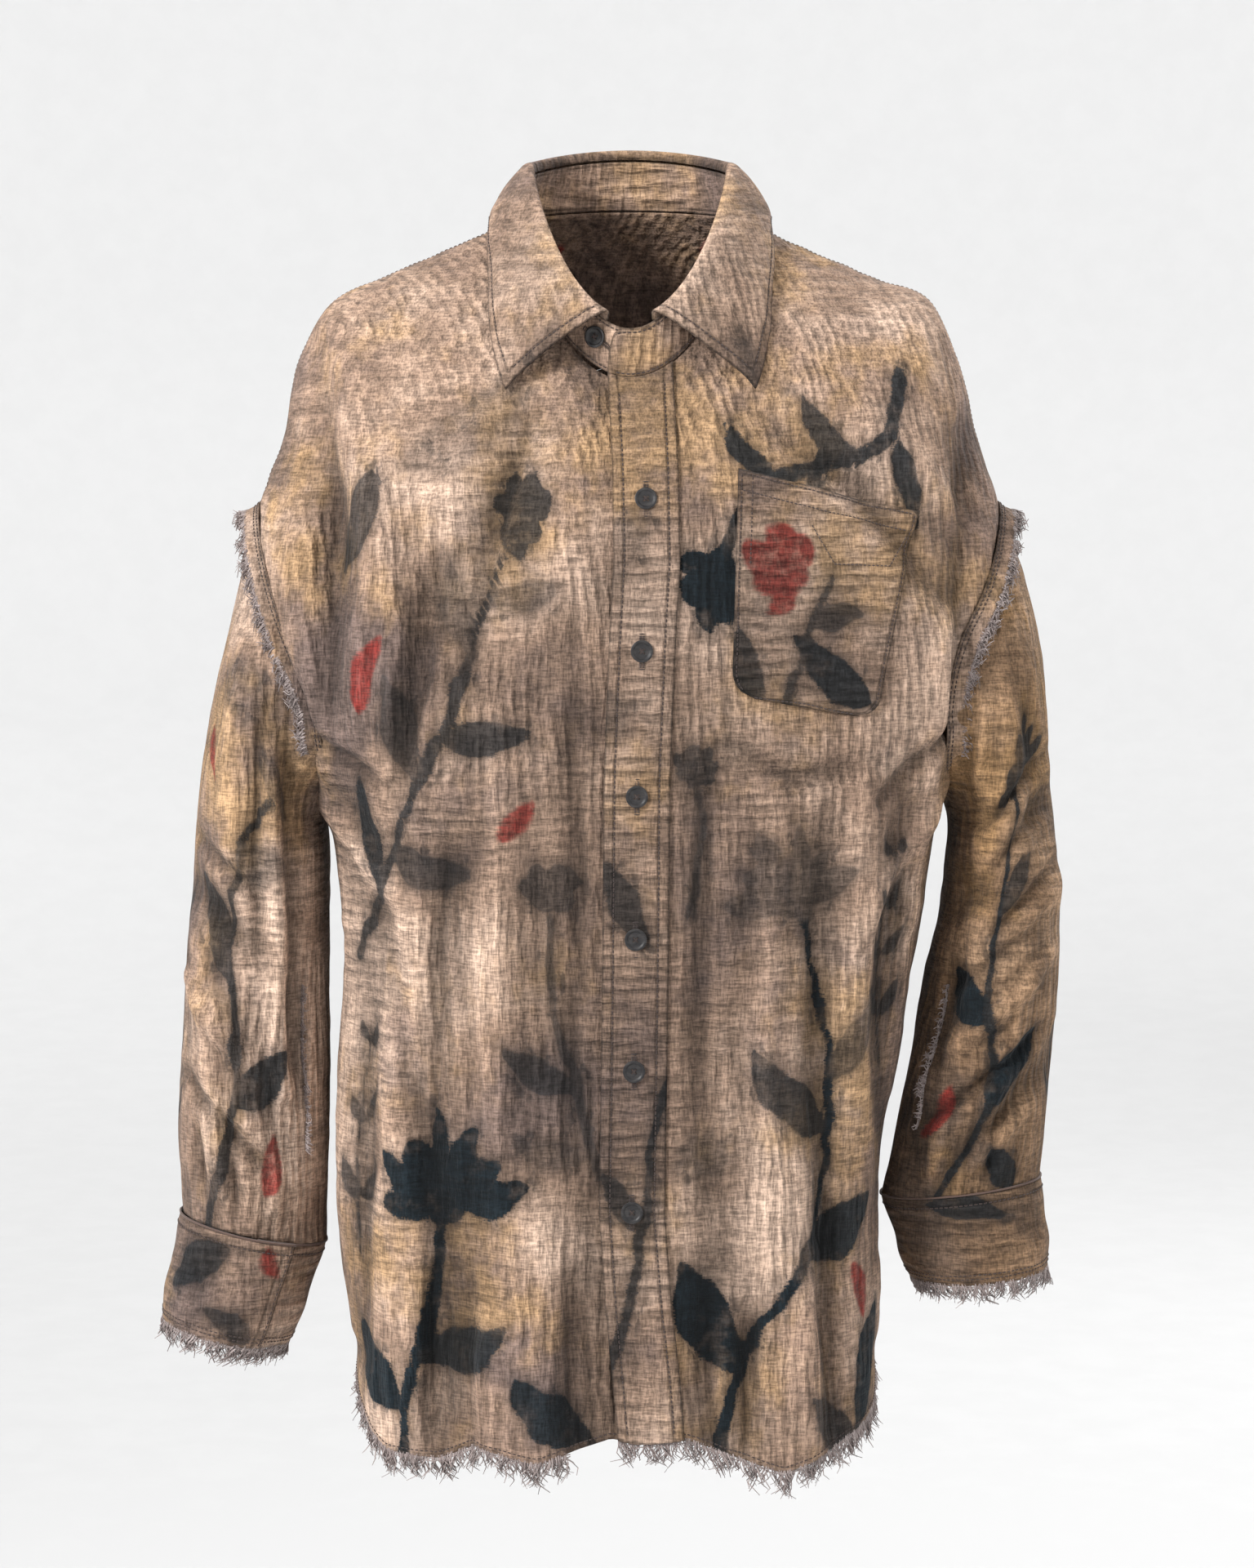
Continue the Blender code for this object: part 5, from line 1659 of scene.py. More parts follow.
class Loom:
    """Collects thin tubes, such as stitches and loose threads, into one mesh."""

    def __init__(self, name: str) -> None:
        """Start an empty collection.

        Args:
            name: The name of the piece.
        """
        self.name = name
        self.vertices: list = []
        self.faces: list = []
        self.shades: list = []

    def tube(self, path: Array, radii: Sequence[float], sides: int, shade: float) -> None:
        """Add a closed tube.

        Args:
            path: Points of its middle line.
            radii: Its radius at each point.
            sides: How many sides it has.
            shade: The number that picks its tone.
        """
        start = len(self.vertices)
        ways = unit(np.gradient(path, axis=0))
        for place, way, radius in zip(path, ways, radii):
            helper = np.array([0.0, 0.0, 1.0]) if abs(way[2]) < 0.8 else np.array([0.0, 1.0, 0.0])
            first = unit(np.cross(way, helper))
            second = np.cross(way, first)
            for step in range(sides):
                turn = 2 * math.pi * step / sides
                self.vertices.append(place + (first * math.cos(turn) + second * math.sin(turn)) * radius)
        rings = len(path)
        for ring in range(rings - 1):
            low = start + ring * sides
            for step in range(sides):
                after = (step + 1) % sides
                self.faces.append([low + step, low + after, low + sides + after, low + sides + step])
        self.faces.append([start + step for step in reversed(range(sides))])
        self.faces.append([start + (rings - 1) * sides + step for step in range(sides)])
        self.shades += [shade] * (rings * sides)

    def stitches(self, line: Array, normals: Array, pitch: float = 3.1 * MM, length: float = 2.3 * MM,
                 radius: float = 0.38 * MM, lift: float = CLOTH_WALL / 2, shade: float = 0.3) -> None:
        """Lay a row of stitches along a line.

        Args:
            line: Points of the line on the cloth's middle.
            normals: The cloth's normals along it.
            pitch: Distance from one stitch to the next.
            length: Length of a stitch.
            radius: Half the thread's thickness.
            lift: How far the stitches lie above the cloth's middle.
            shade: The number that picks the thread's tone.
        """
        run = run_along(line)
        count = max(int(run[-1] / pitch), 1)
        for number in range(count):
            marks = number * pitch + np.array([0.0, 0.25, 0.75, 1.0]) * length
            path = read_along(marks, run, line)
            out = unit(read_along(marks, run, normals))
            rise = np.array([-0.5, 0.6, 0.6, -0.5])[:, None] * radius
            self.tube(path + out * (lift + rise), (radius * 0.5, radius, radius, radius * 0.5), 4, shade)

    def piece(self, material: Finish) -> Piece:
        """Turn the collection into an object.

        Args:
            material: The finish.

        Returns:
            The new object.
        """
        made = link_mesh(self.name, np.array(self.vertices), self.faces, material)
        add_number(made, "shade", np.array(self.shades))
        return made


def ride_on_shirt(piece: Piece, slot: str, *nodes: str) -> Piece:
    """Fasten a piece to the shirt, hide the solids that it stands for and log its triangle count.

    Args:
        piece: The finished piece.
        slot: The record's material slot; not used.
        nodes: The solids that it replaces.

    Returns:
        The same piece.
    """
    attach(piece, "root")
    if nodes:
        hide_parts(*nodes)
    triangles = sum(len(face.vertices) - 2 for face in piece.data.polygons)
    LOG.info("%s: %d triangles", piece.name, triangles)
    return piece


@dataclass
class BodyPanels:
    """The two fronts, the back and the yoke."""

    body: BodyForm
    material: Finish
    grids: dict = field(default_factory=dict)

    def grid(self, name: str, patch: Array, edges: Sequence[Edge], offset: Array | float = 0.0) -> ClothGrid:
        """Lay one panel's cloth on the body.

        Args:
            name: The name.
            patch: Places of the panel.
            edges: The edges that lie on a seam.
            offset: Distance out from the cloth's middle.

        Returns:
            The panel's cloth.
        """
        points, smooth = self.body.dressed(patch[..., 0], patch[..., 1], offset)
        points = drawn_back(points, edges)
        grid = ClothGrid(name, points, grid_normals(points, smooth), body_spots(points))
        self.grids[name] = grid
        return grid

    def build(self) -> dict[str, ClothGrid]:
        """Lay every panel of the body.

        Returns:
            The panels by name.
        """
        pattern = Pattern(self.body)
        self.patches = {"front_left": pattern.front(1), "front_right": pattern.front(-1), "back": pattern.back(),
                        "yoke": pattern.yoke()}
        self.grid("front_left", self.patches["front_left"], (Edge.TOP, Edge.END))
        right = self.patches["front_right"]
        base = self.body.base(right[..., 0], right[..., 1])
        edge_x = self.body.centre_x(base[..., 2]) - PLACKET_HALF_WIDTH
        sink = smooth_step((base[..., 0] - edge_x + self.body.underlap_fade) / (self.body.underlap_fade - 4 * MM))
        self.grid("front_right", right, (Edge.TOP, Edge.END), -LAP_STEP * sink)
        self.grid("back", self.patches["back"], (Edge.TOP, Edge.START, Edge.END))
        self.grid("yoke", self.patches["yoke"], (Edge.TOP, Edge.BOTTOM, Edge.START, Edge.END))
        return self.grids

    def dress(self, trims: dict[str, list]) -> None:
        """Args:
            trims: The separate pieces that lie on each panel; not used.
        """
        for name, grid in self.grids.items():
            piece = ride_on_shirt(grid.shell(self.material), "printed_gauze", name)
            grid.area()


@dataclass
class SleeveForm:
    """One sleeve and its cuff as a surface of (turn, share)."""

    body: BodyForm
    side: Side
    rings: tuple
    cuff_end: SleeveRing
    folds: tuple
    creases: tuple
    lap: CuffLap
    rows: int = 140
    solid_rows: int = 15

    def section(self, row: SleeveRing, turns: Array) -> Array:
        """Points round one sleeve section.

        Args:
            row: The section's size and place.
            turns: Turns round the section.

        Returns:
            Points in metres.
        """
        side = self.side.value
        outer = np.array([side * row.outer_x, row.middle_y, row.outer_z]) * MM
        inner = np.array([side * row.inner_x, row.middle_y, row.inner_z]) * MM
        middle, half = (outer + inner) / 2, (outer - inner) / 2
        forward = np.array([0.0, -row.half_depth * MM, 0.0])
        return middle + np.cos(turns)[:, None] * half + np.sin(turns)[:, None] * forward

    def points(self, turns: Array) -> tuple[Array, Array]:
        """Grid of the sleeve from the armhole to the cuff seam, with its normals.

        Args:
            turns: Turns round the section.

        Returns:
            Points and unit normals.
        """
        loop, normals, inward = self.body.armhole_frame(self.side.value, turns)
        rings = [loop + normals * LAYER_STEP + inward * SEAM_GAP] + [self.section(row, turns) for row in self.rings]
        rings = np.stack(rings)
        steps = np.linalg.norm(np.diff(rings.mean(axis=1), axis=0), axis=1)
        share = np.linspace(0.0, 1.0, self.rows + 1)
        grid = spline(rings.reshape(len(rings), -1), steps, share * (len(rings) - 1)).reshape(self.rows + 1, -1, 3)
        smooth = grid_normals(grid, None, True)
        facing = -smooth[..., 1]
        ends = np.minimum(share * self.solid_rows / 2, (1 - share) * self.solid_rows / 1.5).clip(0.0, 1.0)[:, None]
        height = fold_height(grid, facing, self.folds)
        height = height + fold_height(grid, facing, self.creases) * self.body.crease_strength
        height = height * smooth_step(ends)
        start = smooth_step(share / 0.05)[:, None]
        height = height + crinkle(grid) * start
        grid = grid + smooth * height[..., None]
        grid[-1] += unit(grid[-2] - grid[-1]) * SEAM_GAP
        return grid, grid_normals(grid, None, True)

    def spots(self, turns: Array) -> Array:
        """Flat print places of the sleeve in mm: turn across, share down.

        Args:
            turns: Turns round the section.

        Returns:
            The flat places.
        """
        share = np.linspace(0.0, 420.0, self.rows + 1)
        across = np.mod(turns + math.pi, 2 * math.pi) - math.pi
        return np.stack(np.broadcast_arrays(across[None, :] * 64.0, share[:, None]), axis=-1)

    def cuff_point(self, turns: Array, drop: float, lift: Array) -> tuple[Array, Array]:
        """Points of the cuff.

        Args:
            turns: Turns round the cuff.
            drop: 0 at the sleeve seam and 1 at the raw end.
            lift: A distance outwards.

        Returns:
            Points and the ways out from the cuff's middle.
        """
        upper, lower = self.section(self.rings[-1], turns), self.section(self.cuff_end, turns)
        points = upper + (lower - upper) * drop
        ends = np.array([0.0, math.pi])
        high, low = (self.section(ring, ends).mean(axis=0) for ring in (self.rings[-1], self.cuff_end))
        middle = high * (1 - drop) + low * drop
        away = unit(points - middle)
        return points + away * np.asarray(lift)[..., None], away


SLEEVES = {
    Side.RIGHT: {
        "rings": (
            SleeveRing("cap", 251, -240, 193, -377, -1, 76),
            SleeveRing("upper", 263, -291, 192, -402, -2, 76),
            SleeveRing("biceps", 272, -346, 192, -431, -5, 73),
            SleeveRing("elbow", 278, -415, 192, -470, -8, 68),
            SleeveRing("forearm", 284, -488, 192, -520, -12, 62),
            SleeveRing("low", 287, -560, 193, -582, -17, 54),
            SleeveRing("cuff_seam", 285, -622, 195, -641, -20, 43),
        ),
        "cuff_end": SleeveRing("cuff_end", 298, -688, 219, -706, -24, 46),
        "folds": read_folds(front="""
9 -7: -213 -300 -208 -400 -207 -520: inner lobe trough
10 -5: -240 -505 -216 -580: forearm fold
11 -5: -282 -400 -225 -455: elbow fold
        """, back="""
13 -6: -282 -405 -225 -470: back elbow fold
12 -5: -285 -520 -220 -585: back lower fold
        """),
        "creases": read_folds(front="""
8 2.4: -236 -262 -246 -330 -250 -400: cap drag
6 -2.6: -226 -300 -232 -380 -228 -450: cap drag, inner
8 2.2: -270 -440 -262 -520 -256 -600: forearm ripple
6 -3: -272 -380 -226 -420: elbow drag
7 3.4: -222 -330 -218 -430 -216 -540: lobe ridge
6 3: -276 -470 -232 -530: forearm drag
6 -3.2: -278 -530 -226 -590: forearm drag, low
4 -3: -250 -570 -246 -628: wrist gather
5 -2.6: -272 -560 -268 -618: wrist gather, outer
4 2.6: -222 -590 -224 -634: wrist gather, inner
6 -2.4: -212 -470 -206 -545: under ripple
        """, back="""
8 -2.6: -240 -270 -252 -360 -246 -450: back drag
8 2.4: -262 -470 -256 -560 -262 -610: back ripple
5 -3: -236 -575 -238 -632: back wrist gather
        """),
        "lap": CuffLap(128, -1, 30, 45),
    },
    Side.LEFT: {
        "rings": (
            SleeveRing("cap", 253, -238, 203, -377, -1, 76),
            SleeveRing("upper", 263, -289, 202, -402, -2, 76),
            SleeveRing("biceps", 267, -345, 198, -432, -5, 73),
            SleeveRing("elbow", 272, -415, 190, -470, -8, 68),
            SleeveRing("forearm", 272, -482, 181, -517, -12, 60),
            SleeveRing("low", 266, -545, 171, -568, -17, 52),
            SleeveRing("cuff_seam", 260, -599, 161, -611, -20, 40),
        ),
        "cuff_end": SleeveRing("cuff_end", 265, -657, 179, -664, -24, 45),
        "folds": read_folds(front="""
11 -10: 272 -352 205 -425: elbow fold
12 6: 274 -400 215 -470: elbow bunch
12 -8: 268 -515 205 -585: lower fold
        """, back="""
13 -7: 272 -380 205 -450: back elbow fold
12 -5: 268 -500 200 -575: back lower fold
        """),
        "creases": read_folds(front="""
7 -2.6: 238 -262 250 -320 256 -380: cap drag
5 3: 262 -372 222 -408: elbow pinch
5 -3.2: 262 -330 216 -372: elbow drag
5 -3.2: 266 -398 226 -438: elbow drag, low
6 3.4: 262 -452 204 -512: forearm drag
5 -3.4: 258 -500 190 -556: forearm drag, low
5 3: 250 -548 206 -592: wrist drag
6 2.8: 216 -300 218 -350: cap drag, inner
6 -3.2: 258 -428 206 -470: elbow pinch, low
7 2.4: 246 -470 226 -540 222 -590: forearm ripple
4 -3: 230 -556 218 -604: wrist gather
5 2.6: 196 -560 188 -606: wrist gather, inner
6 -2.4: 208 -440 192 -520: under ripple
        """, back="""
8 -2.6: 240 -270 252 -350 248 -430: back drag
8 2.4: 250 -460 238 -550 230 -596: back ripple
5 -3: 204 -558 196 -606: back wrist gather
        """),
        "lap": CuffLap(262, 1, 30, 45),
    },
}


SLEEVE_TILT_AND_PAINTED_SHADE = {
    Side.RIGHT: {"tilt": math.radians(5)},
    # the left sleeve's colours are a darker, more ochre copy of the gauze: painted shade for the sleeve on the side
    # away from the key light
    Side.LEFT: {"tilt": math.radians(-5), "pale": (0.320, 0.205, 0.125), "middle": (0.185, 0.112, 0.064),
                "ochre": (0.235, 0.138, 0.062), "mauve": (0.095, 0.064, 0.046)},
}


@dataclass
class Arm:
    """One sleeve with its cuff, stitching and raw edges."""

    form: SleeveForm
    cloth: Finish
    seam_thread: Finish
    loose_thread: Finish
    cuff_columns: int = 190
    cuff_rows: int = 26

    def build(self) -> None:
        """Lay the sleeve's and the cuff's cloth."""
        word = self.form.side.word
        turns = self.form.body.arm_turns
        points, normals = self.form.points(turns)
        self.sleeve = ClothGrid(f"sleeve_{word}", points, normals, self.form.spots(turns), True)
        lap, ease = math.radians(self.form.lap.lap_turn), math.radians(self.form.lap.ease_turn)
        run = np.linspace(0.0, 2 * math.pi + lap, self.cuff_columns)
        turns = math.radians(self.form.lap.edge_turn) + self.form.lap.way * run
        lift = LAP_STEP * (1.0 - smooth_step((run - lap) / ease))
        rows, spots = [], []
        for drop in np.linspace(0.008, 1.0, self.cuff_rows + 1):
            points, away = self.form.cuff_point(turns, drop, lift)
            swell = (math.sin(math.pi * drop) * 1.6 + 0.8 * math.sin(9 * drop + 1.0)) * MM
            ripple = value_noise(points, (18, 18, 11), 21) * 0.9 * MM + crinkle(points) * 0.5
            rows.append(points + away * (swell + ripple * math.sin(math.pi * min(drop * 1.6, 1.0) * 0.5))[:, None])
            across = np.mod(turns + math.pi, 2 * math.pi) - math.pi
            spots.append(np.stack([across * 46.0, np.full(len(turns), drop * 68.0)], axis=-1))
        points = np.stack(rows)
        self.cuff = ClothGrid(f"cuff_{word}", points, grid_normals(points, None), np.stack(spots),
                              stitched=(Edge.BOTTOM, Edge.START), inset=6.5, rows_of_puckers=0.95)

    def dress(self) -> None:
        word = self.form.side.word
        seams = Loom(f"stitches_sleeve_{word}")
        seams.stitches(*self.cuff.line(Edge.BOTTOM, 6.5 * MM))
        seams.stitches(*self.cuff.line(Edge.TOP, 4.0 * MM))
        seams.stitches(*self.cuff.line(Edge.TOP, 6.6 * MM))
        seams.stitches(*self.cuff.line(Edge.START, 2.2 * MM))
        cord = self.cuff.points[0] + self.cuff.normals[0] * 0.8 * MM
        seams.tube(cord, [0.75 * MM] * len(cord), 5, 1.0)
        stitching = ride_on_shirt(seams.piece(self.seam_thread), "frayed_threads")
        cuff_fray = self.cuff_fringe(word)
        sleeve_fray = self.under_fringe(word)
        sleeve = ride_on_shirt(self.sleeve.shell(self.cloth), "printed_gauze", self.sleeve.name)
        self.sleeve.area()
        cuff = ride_on_shirt(self.cuff.shell(self.cloth), "printed_gauze", self.cuff.name)
        self.cuff.area()

    def cuff_fringe(self, word: str) -> Piece:
        """Loose threads round the cuff's raw end.

        Args:
            word: right or left.

        Returns:
            The finished fringe.
        """
        line, facing = self.cuff.points[-1], self.cuff.normals[-1]
        down = unit(self.cuff.points[-1] - self.cuff.points[-4])
        fringe = Fringe(f"threads_cuff_{word}", 2200, (7 * MM, 14 * MM), 0.7, 41 + self.form.side.value)
        piece = fringe.build(line, down, facing, self.loose_thread)
        return ride_on_shirt(piece, "frayed_threads", f"fray_cuff_{word}")

    def under_fringe(self, word: str) -> Piece:
        """The curly allowance along the underside seam of the sleeve.

        Args:
            word: right or left.

        Returns:
            The finished fringe.
        """
        turns = self.form.body.arm_turns
        column = int(np.argmin(np.abs(turns - math.radians(142))))
        first, last = int(self.form.rows * 9 / 15), int(self.form.rows * 13 / 15)
        line, facing = self.sleeve.points[first:last, column], self.sleeve.normals[first:last, column]
        side = unit(np.cross(np.gradient(line, axis=0), facing))
        fringe = Fringe(f"threads_sleeve_{word}", 1300, (3 * MM, 7 * MM), 0.7, 51 + self.form.side.value, 3.0 * MM)
        piece = fringe.build(line, facing, side, self.loose_thread)
        return ride_on_shirt(piece, "frayed_threads", f"fray_sleeve_{word}")


@dataclass
class Fringe:
    """Loose threads along a raw edge, over a narrow strip of unravelling cloth."""

    name: str
    strands_per_metre: float
    length: tuple
    curl: float
    seed: int
    band: float = 2.6 * MM
    radius: float = 0.50 * MM

    def build(self, line: Array, down: Array, away: Array, material: Finish) -> Piece:
        """Grow the threads.

        Args:
            line: Points along the edge.
            down: The way the threads hang at each point.
            away: The way the cloth faces at each point.
            material: The finish of the threads.

        Returns:
            The finished fringe.
        """
        dice = random.Random(self.seed)
        loom = Loom(self.name)
        run = run_along(line)
        along = unit(np.gradient(line, axis=0))

        count = int(run[-1] * self.strands_per_metre)
        for _ in range(count):
            mark = dice.random() * run[-1]
            root = read_along(mark, run, line)
            hang, side, face = (unit(read_along(mark, run, ways)) for ways in (down, along, away))
            clump = math.sin(mark * 310.0) + 0.7 * math.sin(mark * 723.0 + 1.3)
            reach = self.length[0] + (self.length[1] - self.length[0]) * dice.random() ** 1.4
            reach *= 0.80 + 0.14 * clump
            lean = 0.28 * math.cos(mark * 310.0) + (dice.random() - 0.5) * 0.8
            puff = (dice.random() - 0.5) * 0.55
            phase, waves = dice.random() * 6.3, 1.0 + 1.8 * dice.random()
            steps = np.linspace(0.0, 1.0, 5)
            swing = np.sin(steps * waves * math.pi + phase) - math.sin(phase)
            roll = np.cos(steps * waves * math.pi + phase)
            curve = self.curl * reach * steps
            path = root - hang * 1.2 * MM + face * (dice.random() - 0.5) * 0.8 * MM + (
                hang[None] * (steps * (self.band + reach))[:, None]
                + side[None] * (lean * reach * steps ** 1.3 + curve * swing * 0.45)[:, None]
                + face[None] * (puff * reach * steps ** 1.4 + curve * roll * 0.3)[:, None]
            )
            radii = self.radius * np.array([1.0, 1.0, 0.9, 0.75, 0.4]) * (0.75 + 0.5 * dice.random())
            loom.tube(path, radii, 3, dice.random())
        marks = np.linspace(0.0, run[-1], max(int(run[-1] / (4 * MM)), 4))
        for share in (0.25, 0.75):
            drift = np.array([share + 0.22 * math.sin(mark * 530 + share * 9) for mark in marks])
            path = read_along(marks, run, line) + unit(read_along(marks, run, down)) * self.band * drift[:, None]
            loom.tube(path, [self.radius * 0.9] * len(path), 3, 0.4 + 0.3 * share)
        return loom.piece(material)


@dataclass
class Armhole:
    """The raw seam allowance that stands out round an armhole."""

    body: BodyForm
    side: Side
    reach: float = math.radians(140)
    set_back: float = 3.4 * MM
    stand: float = 7.5 * MM
    columns: int = 190
    widest_area: float = 0.0048

    def frame_line(self) -> tuple[Array, Array, Array]:
        """Foot and edge lines of the allowance, and the way that its raw part stands out over the sleeve.

        Returns:
            The foot line, the edge line and the ways out.
        """
        turns = np.linspace(-self.reach, self.reach, self.columns)
        loop, normals, inward = self.body.armhole_frame(self.side.value, turns)
        foot = loop - inward * self.set_back + normals * 1.15 * MM
        edge = loop + normals * (LAYER_STEP + 1.35 * MM)
        return foot, edge, unit(normals * 0.8 + inward * 0.6)

    def dress(self, cloth: Finish, seam_thread: Finish,
              loose_thread: Finish) -> None:
        """Make the allowance, its stitching and its loose threads.

        Args:
            cloth: The cloth's finish.
            seam_thread: The sewing thread's finish.
            loose_thread: The loose threads' finish.
        """
        word = self.side.word
        foot, edge, out = self.frame_line()
        along = unit(np.gradient(edge, axis=0))
        facing = unit(np.cross(along, out))
        facing = facing * np.sign(np.sum(facing * (edge - edge.mean(axis=0)), axis=-1, keepdims=True))
        rows = [foot, (foot + edge) / 2, edge]
        for share in (0.35, 0.7, 1.0):
            wave = value_noise(edge, (9, 9, 9), 61) * 2.6 * MM * share
            rows.append(edge + out * self.stand * share + facing * wave[:, None])
        points = np.stack(rows)
        normals = grid_normals(points, np.stack([facing] * len(rows)))
        grid = ClothGrid(f"allowance_armhole_{word}", points, normals, body_spots(points),
                         stitched=(Edge.BOTTOM,), inset=1.6)
        band = ride_on_shirt(grid.shell(cloth), "printed_gauze", f"fray_armhole_{word}")
        seams = Loom(f"stitches_armhole_{word}")
        seams.stitches(*grid.line(Edge.BOTTOM, 1.6 * MM), shade=0.2)
        seams.stitches(*grid.line(Edge.BOTTOM, 4.4 * MM), shade=0.2)
        stitching = ride_on_shirt(seams.piece(seam_thread), "frayed_threads")
        fringe = Fringe(f"curls_armhole_{word}", 2700, (4 * MM, 9 * MM), 1.2, 71 + self.side.value, 1.2 * MM, 0.5 * MM)
        curls = ride_on_shirt(fringe.build(points[-1], out, facing, loose_thread), "frayed_threads")


@dataclass
class Collar:
    """The collar stand and the fold-over collar."""

    body: BodyForm
    cloth: Finish
    seam_thread: Finish
    stand_top: Ring = Ring("stand_top", 60, 60, 89, 53, 32, -67, 44, 2.0, 1.5)
    crest: Ring = Ring("collar_crest", 62, 62, 92, 57, 39, -60, 51, 2.0, 1.5)
    stations: tuple = (
        FallStation("back", 180, 180, 0.62),
        FallStation("back_side", 134, 136, 0.52),
        FallStation("side", 90, 91, 0.42),
        FallStation("front_side", 62, 67, 0.58),
        FallStation("front_mid", 37, 51, 0.90),
        FallStation("point", 13, 38, 1.22),
    )
    fall_lift: float = 4.0 * MM
    fall_bulge: float = 5.0 * MM
    fall_rows: tuple = (0.06, 0.2, 0.4, 0.64, 0.84, 1.0)
    half_columns: int = 96
    lap_from: float = math.radians(-40)
    lap_ease: float = math.radians(20)

    def build(self, left: Array, right: Array) -> None:
        """Lay the stand round the neckline and the fall over its crest.

        Args:
            left: Places of the wearer's left front.
            right: Places of the wearer's right front.
        """
        count = self.body.counts
        back_neck = np.linspace(math.pi / 2, 3 * math.pi / 2, count.back_neck + 1)
        right_neck = right[-1, :count.neck + 1, 0][::-1] + 2 * math.pi
        angle = np.concatenate([left[-1, :count.neck + 1, 0], back_neck[1:-1], right_neck])
        root = self.body.surface(angle, np.zeros(len(angle)))
        lift = -LAP_STEP * smooth_step((angle - 2 * math.pi - self.lap_from) / self.lap_ease)
        crown = BodyForm.ring_points(np.tile(numbers([self.stand_top]), (len(angle), 1)), angle)
        rise = unit(crown - root)
        root = root + rise * 0.95 * MM
        away = unit(np.cross(np.gradient(root, axis=0), rise))
        run = run_along(root)
        from_end = np.clip(run / (11 * MM), 0.0, 1.0)
        spans = 0.52 + 0.48 * np.sqrt(1.0 - (1.0 - from_end) ** 2)
        rows = [root + (crown - root) * (share * spans)[:, None] for share in np.linspace(0.0, 1.0, 12)]
        points = np.stack(rows) + (away * lift[:, None])[None]
        points += away[None] * (value_noise(points, (14, 14, 10), 81) * 0.35 * MM)[..., None]
        self.stand = ClothGrid("collar_stand", points, grid_normals(points, np.stack([away] * 12)), body_spots(points),
                               stitched=(Edge.BOTTOM, Edge.TOP, Edge.START), inset=2.1, rows_of_puckers=0.6)
        self.stand_away = away
        self.fall = self.fall_grid()

    def fall_grid(self) -> ClothGrid:
        """Lay the fold-over collar from its root over its crest to its outer edge.

        Returns:
            The fall's cloth.
        """
        table = numbers(self.stations)
        read = spline(table, np.ones(len(table) - 1), np.linspace(0, len(table) - 1, self.half_columns + 1))
        halves = [np.stack([side * np.radians(read[:, 0]), side * np.radians(read[:, 1]), read[:, 2]], axis=-1)
                  for side in (1, -1)]
        crest_angle, edge_angle, level = np.concatenate([halves[0][::-1], halves[1][1:]]).T
        stand_top = BodyForm.ring_points(np.tile(numbers([self.stand_top]), (len(level), 1)), crest_angle)
        crest = BodyForm.ring_points(np.tile(numbers([self.crest]), (len(level), 1)), crest_angle)
        edge_normal = self.body.normals(self.body.surface, edge_angle, level)
        edge = self.body.surface(edge_angle, level) + edge_normal * self.fall_lift
        outward = unit(unit(edge - crest) * (1, 1, 0) + edge_normal)
        rows = [stand_top + unit(crest - stand_top) * 1.5 * MM, crest]
        for share in self.fall_rows:
            bulge = self.fall_bulge * math.sqrt(4 * share * (1 - share))
            rows.append(crest + (edge - crest) * share + outward * bulge)
        knots = np.stack(rows)
        steps = np.linalg.norm(np.diff(knots, axis=0), axis=2).mean(axis=1)
        level_rows = np.concatenate([np.linspace(0, 1, 4)[:-1], np.linspace(1, len(knots) - 1, 30)])
        points = spline(knots.reshape(len(knots), -1), steps, level_rows).reshape(len(level_rows), -1, 3)
        normals = grid_normals(points, np.stack([outward] * len(points)))
        share = smooth_step((np.arange(len(points)) - 4) / 6.0)[:, None]
        wave = value_noise(points, (24, 24, 24), 83) * 1.0 * MM + value_noise(points, (10, 10, 10), 84) * 0.35 * MM
        points = points + normals * (wave * share)[..., None]
        normals = grid_normals(points, np.stack([outward] * len(points)))
        return ClothGrid("collar_fall", points, normals, body_spots(points), wall=COLLAR_WALL,
                         stitched=(Edge.TOP, Edge.START, Edge.END), inset=6.3, rows_of_puckers=0.5)

    def dress(self) -> None:
        seams = Loom("stitches_collar")
        high = self.fall.wall / 2
        seams.stitches(*self.fall.line(Edge.TOP, 6.6 * MM, 6, -6), lift=high)
        seams.stitches(*self.fall.line(Edge.START, 6.0 * MM, 6, -4), lift=high)
        seams.stitches(*self.fall.line(Edge.END, 6.0 * MM, 6, -4), lift=high)
        seams.stitches(*self.stand.line(Edge.BOTTOM, 2.0 * MM, 2, -2))
        seams.stitches(*self.stand.line(Edge.TOP, 2.2 * MM, 2, -2))
        stitching = ride_on_shirt(seams.piece(self.seam_thread), "frayed_threads")
        stand = ride_on_shirt(self.stand.shell(self.cloth), "printed_gauze", "collar_stand")
        self.stand.area()
        fall = ride_on_shirt(self.fall.shell(self.cloth), "printed_gauze", "collar_fall")
        self.fall.area()


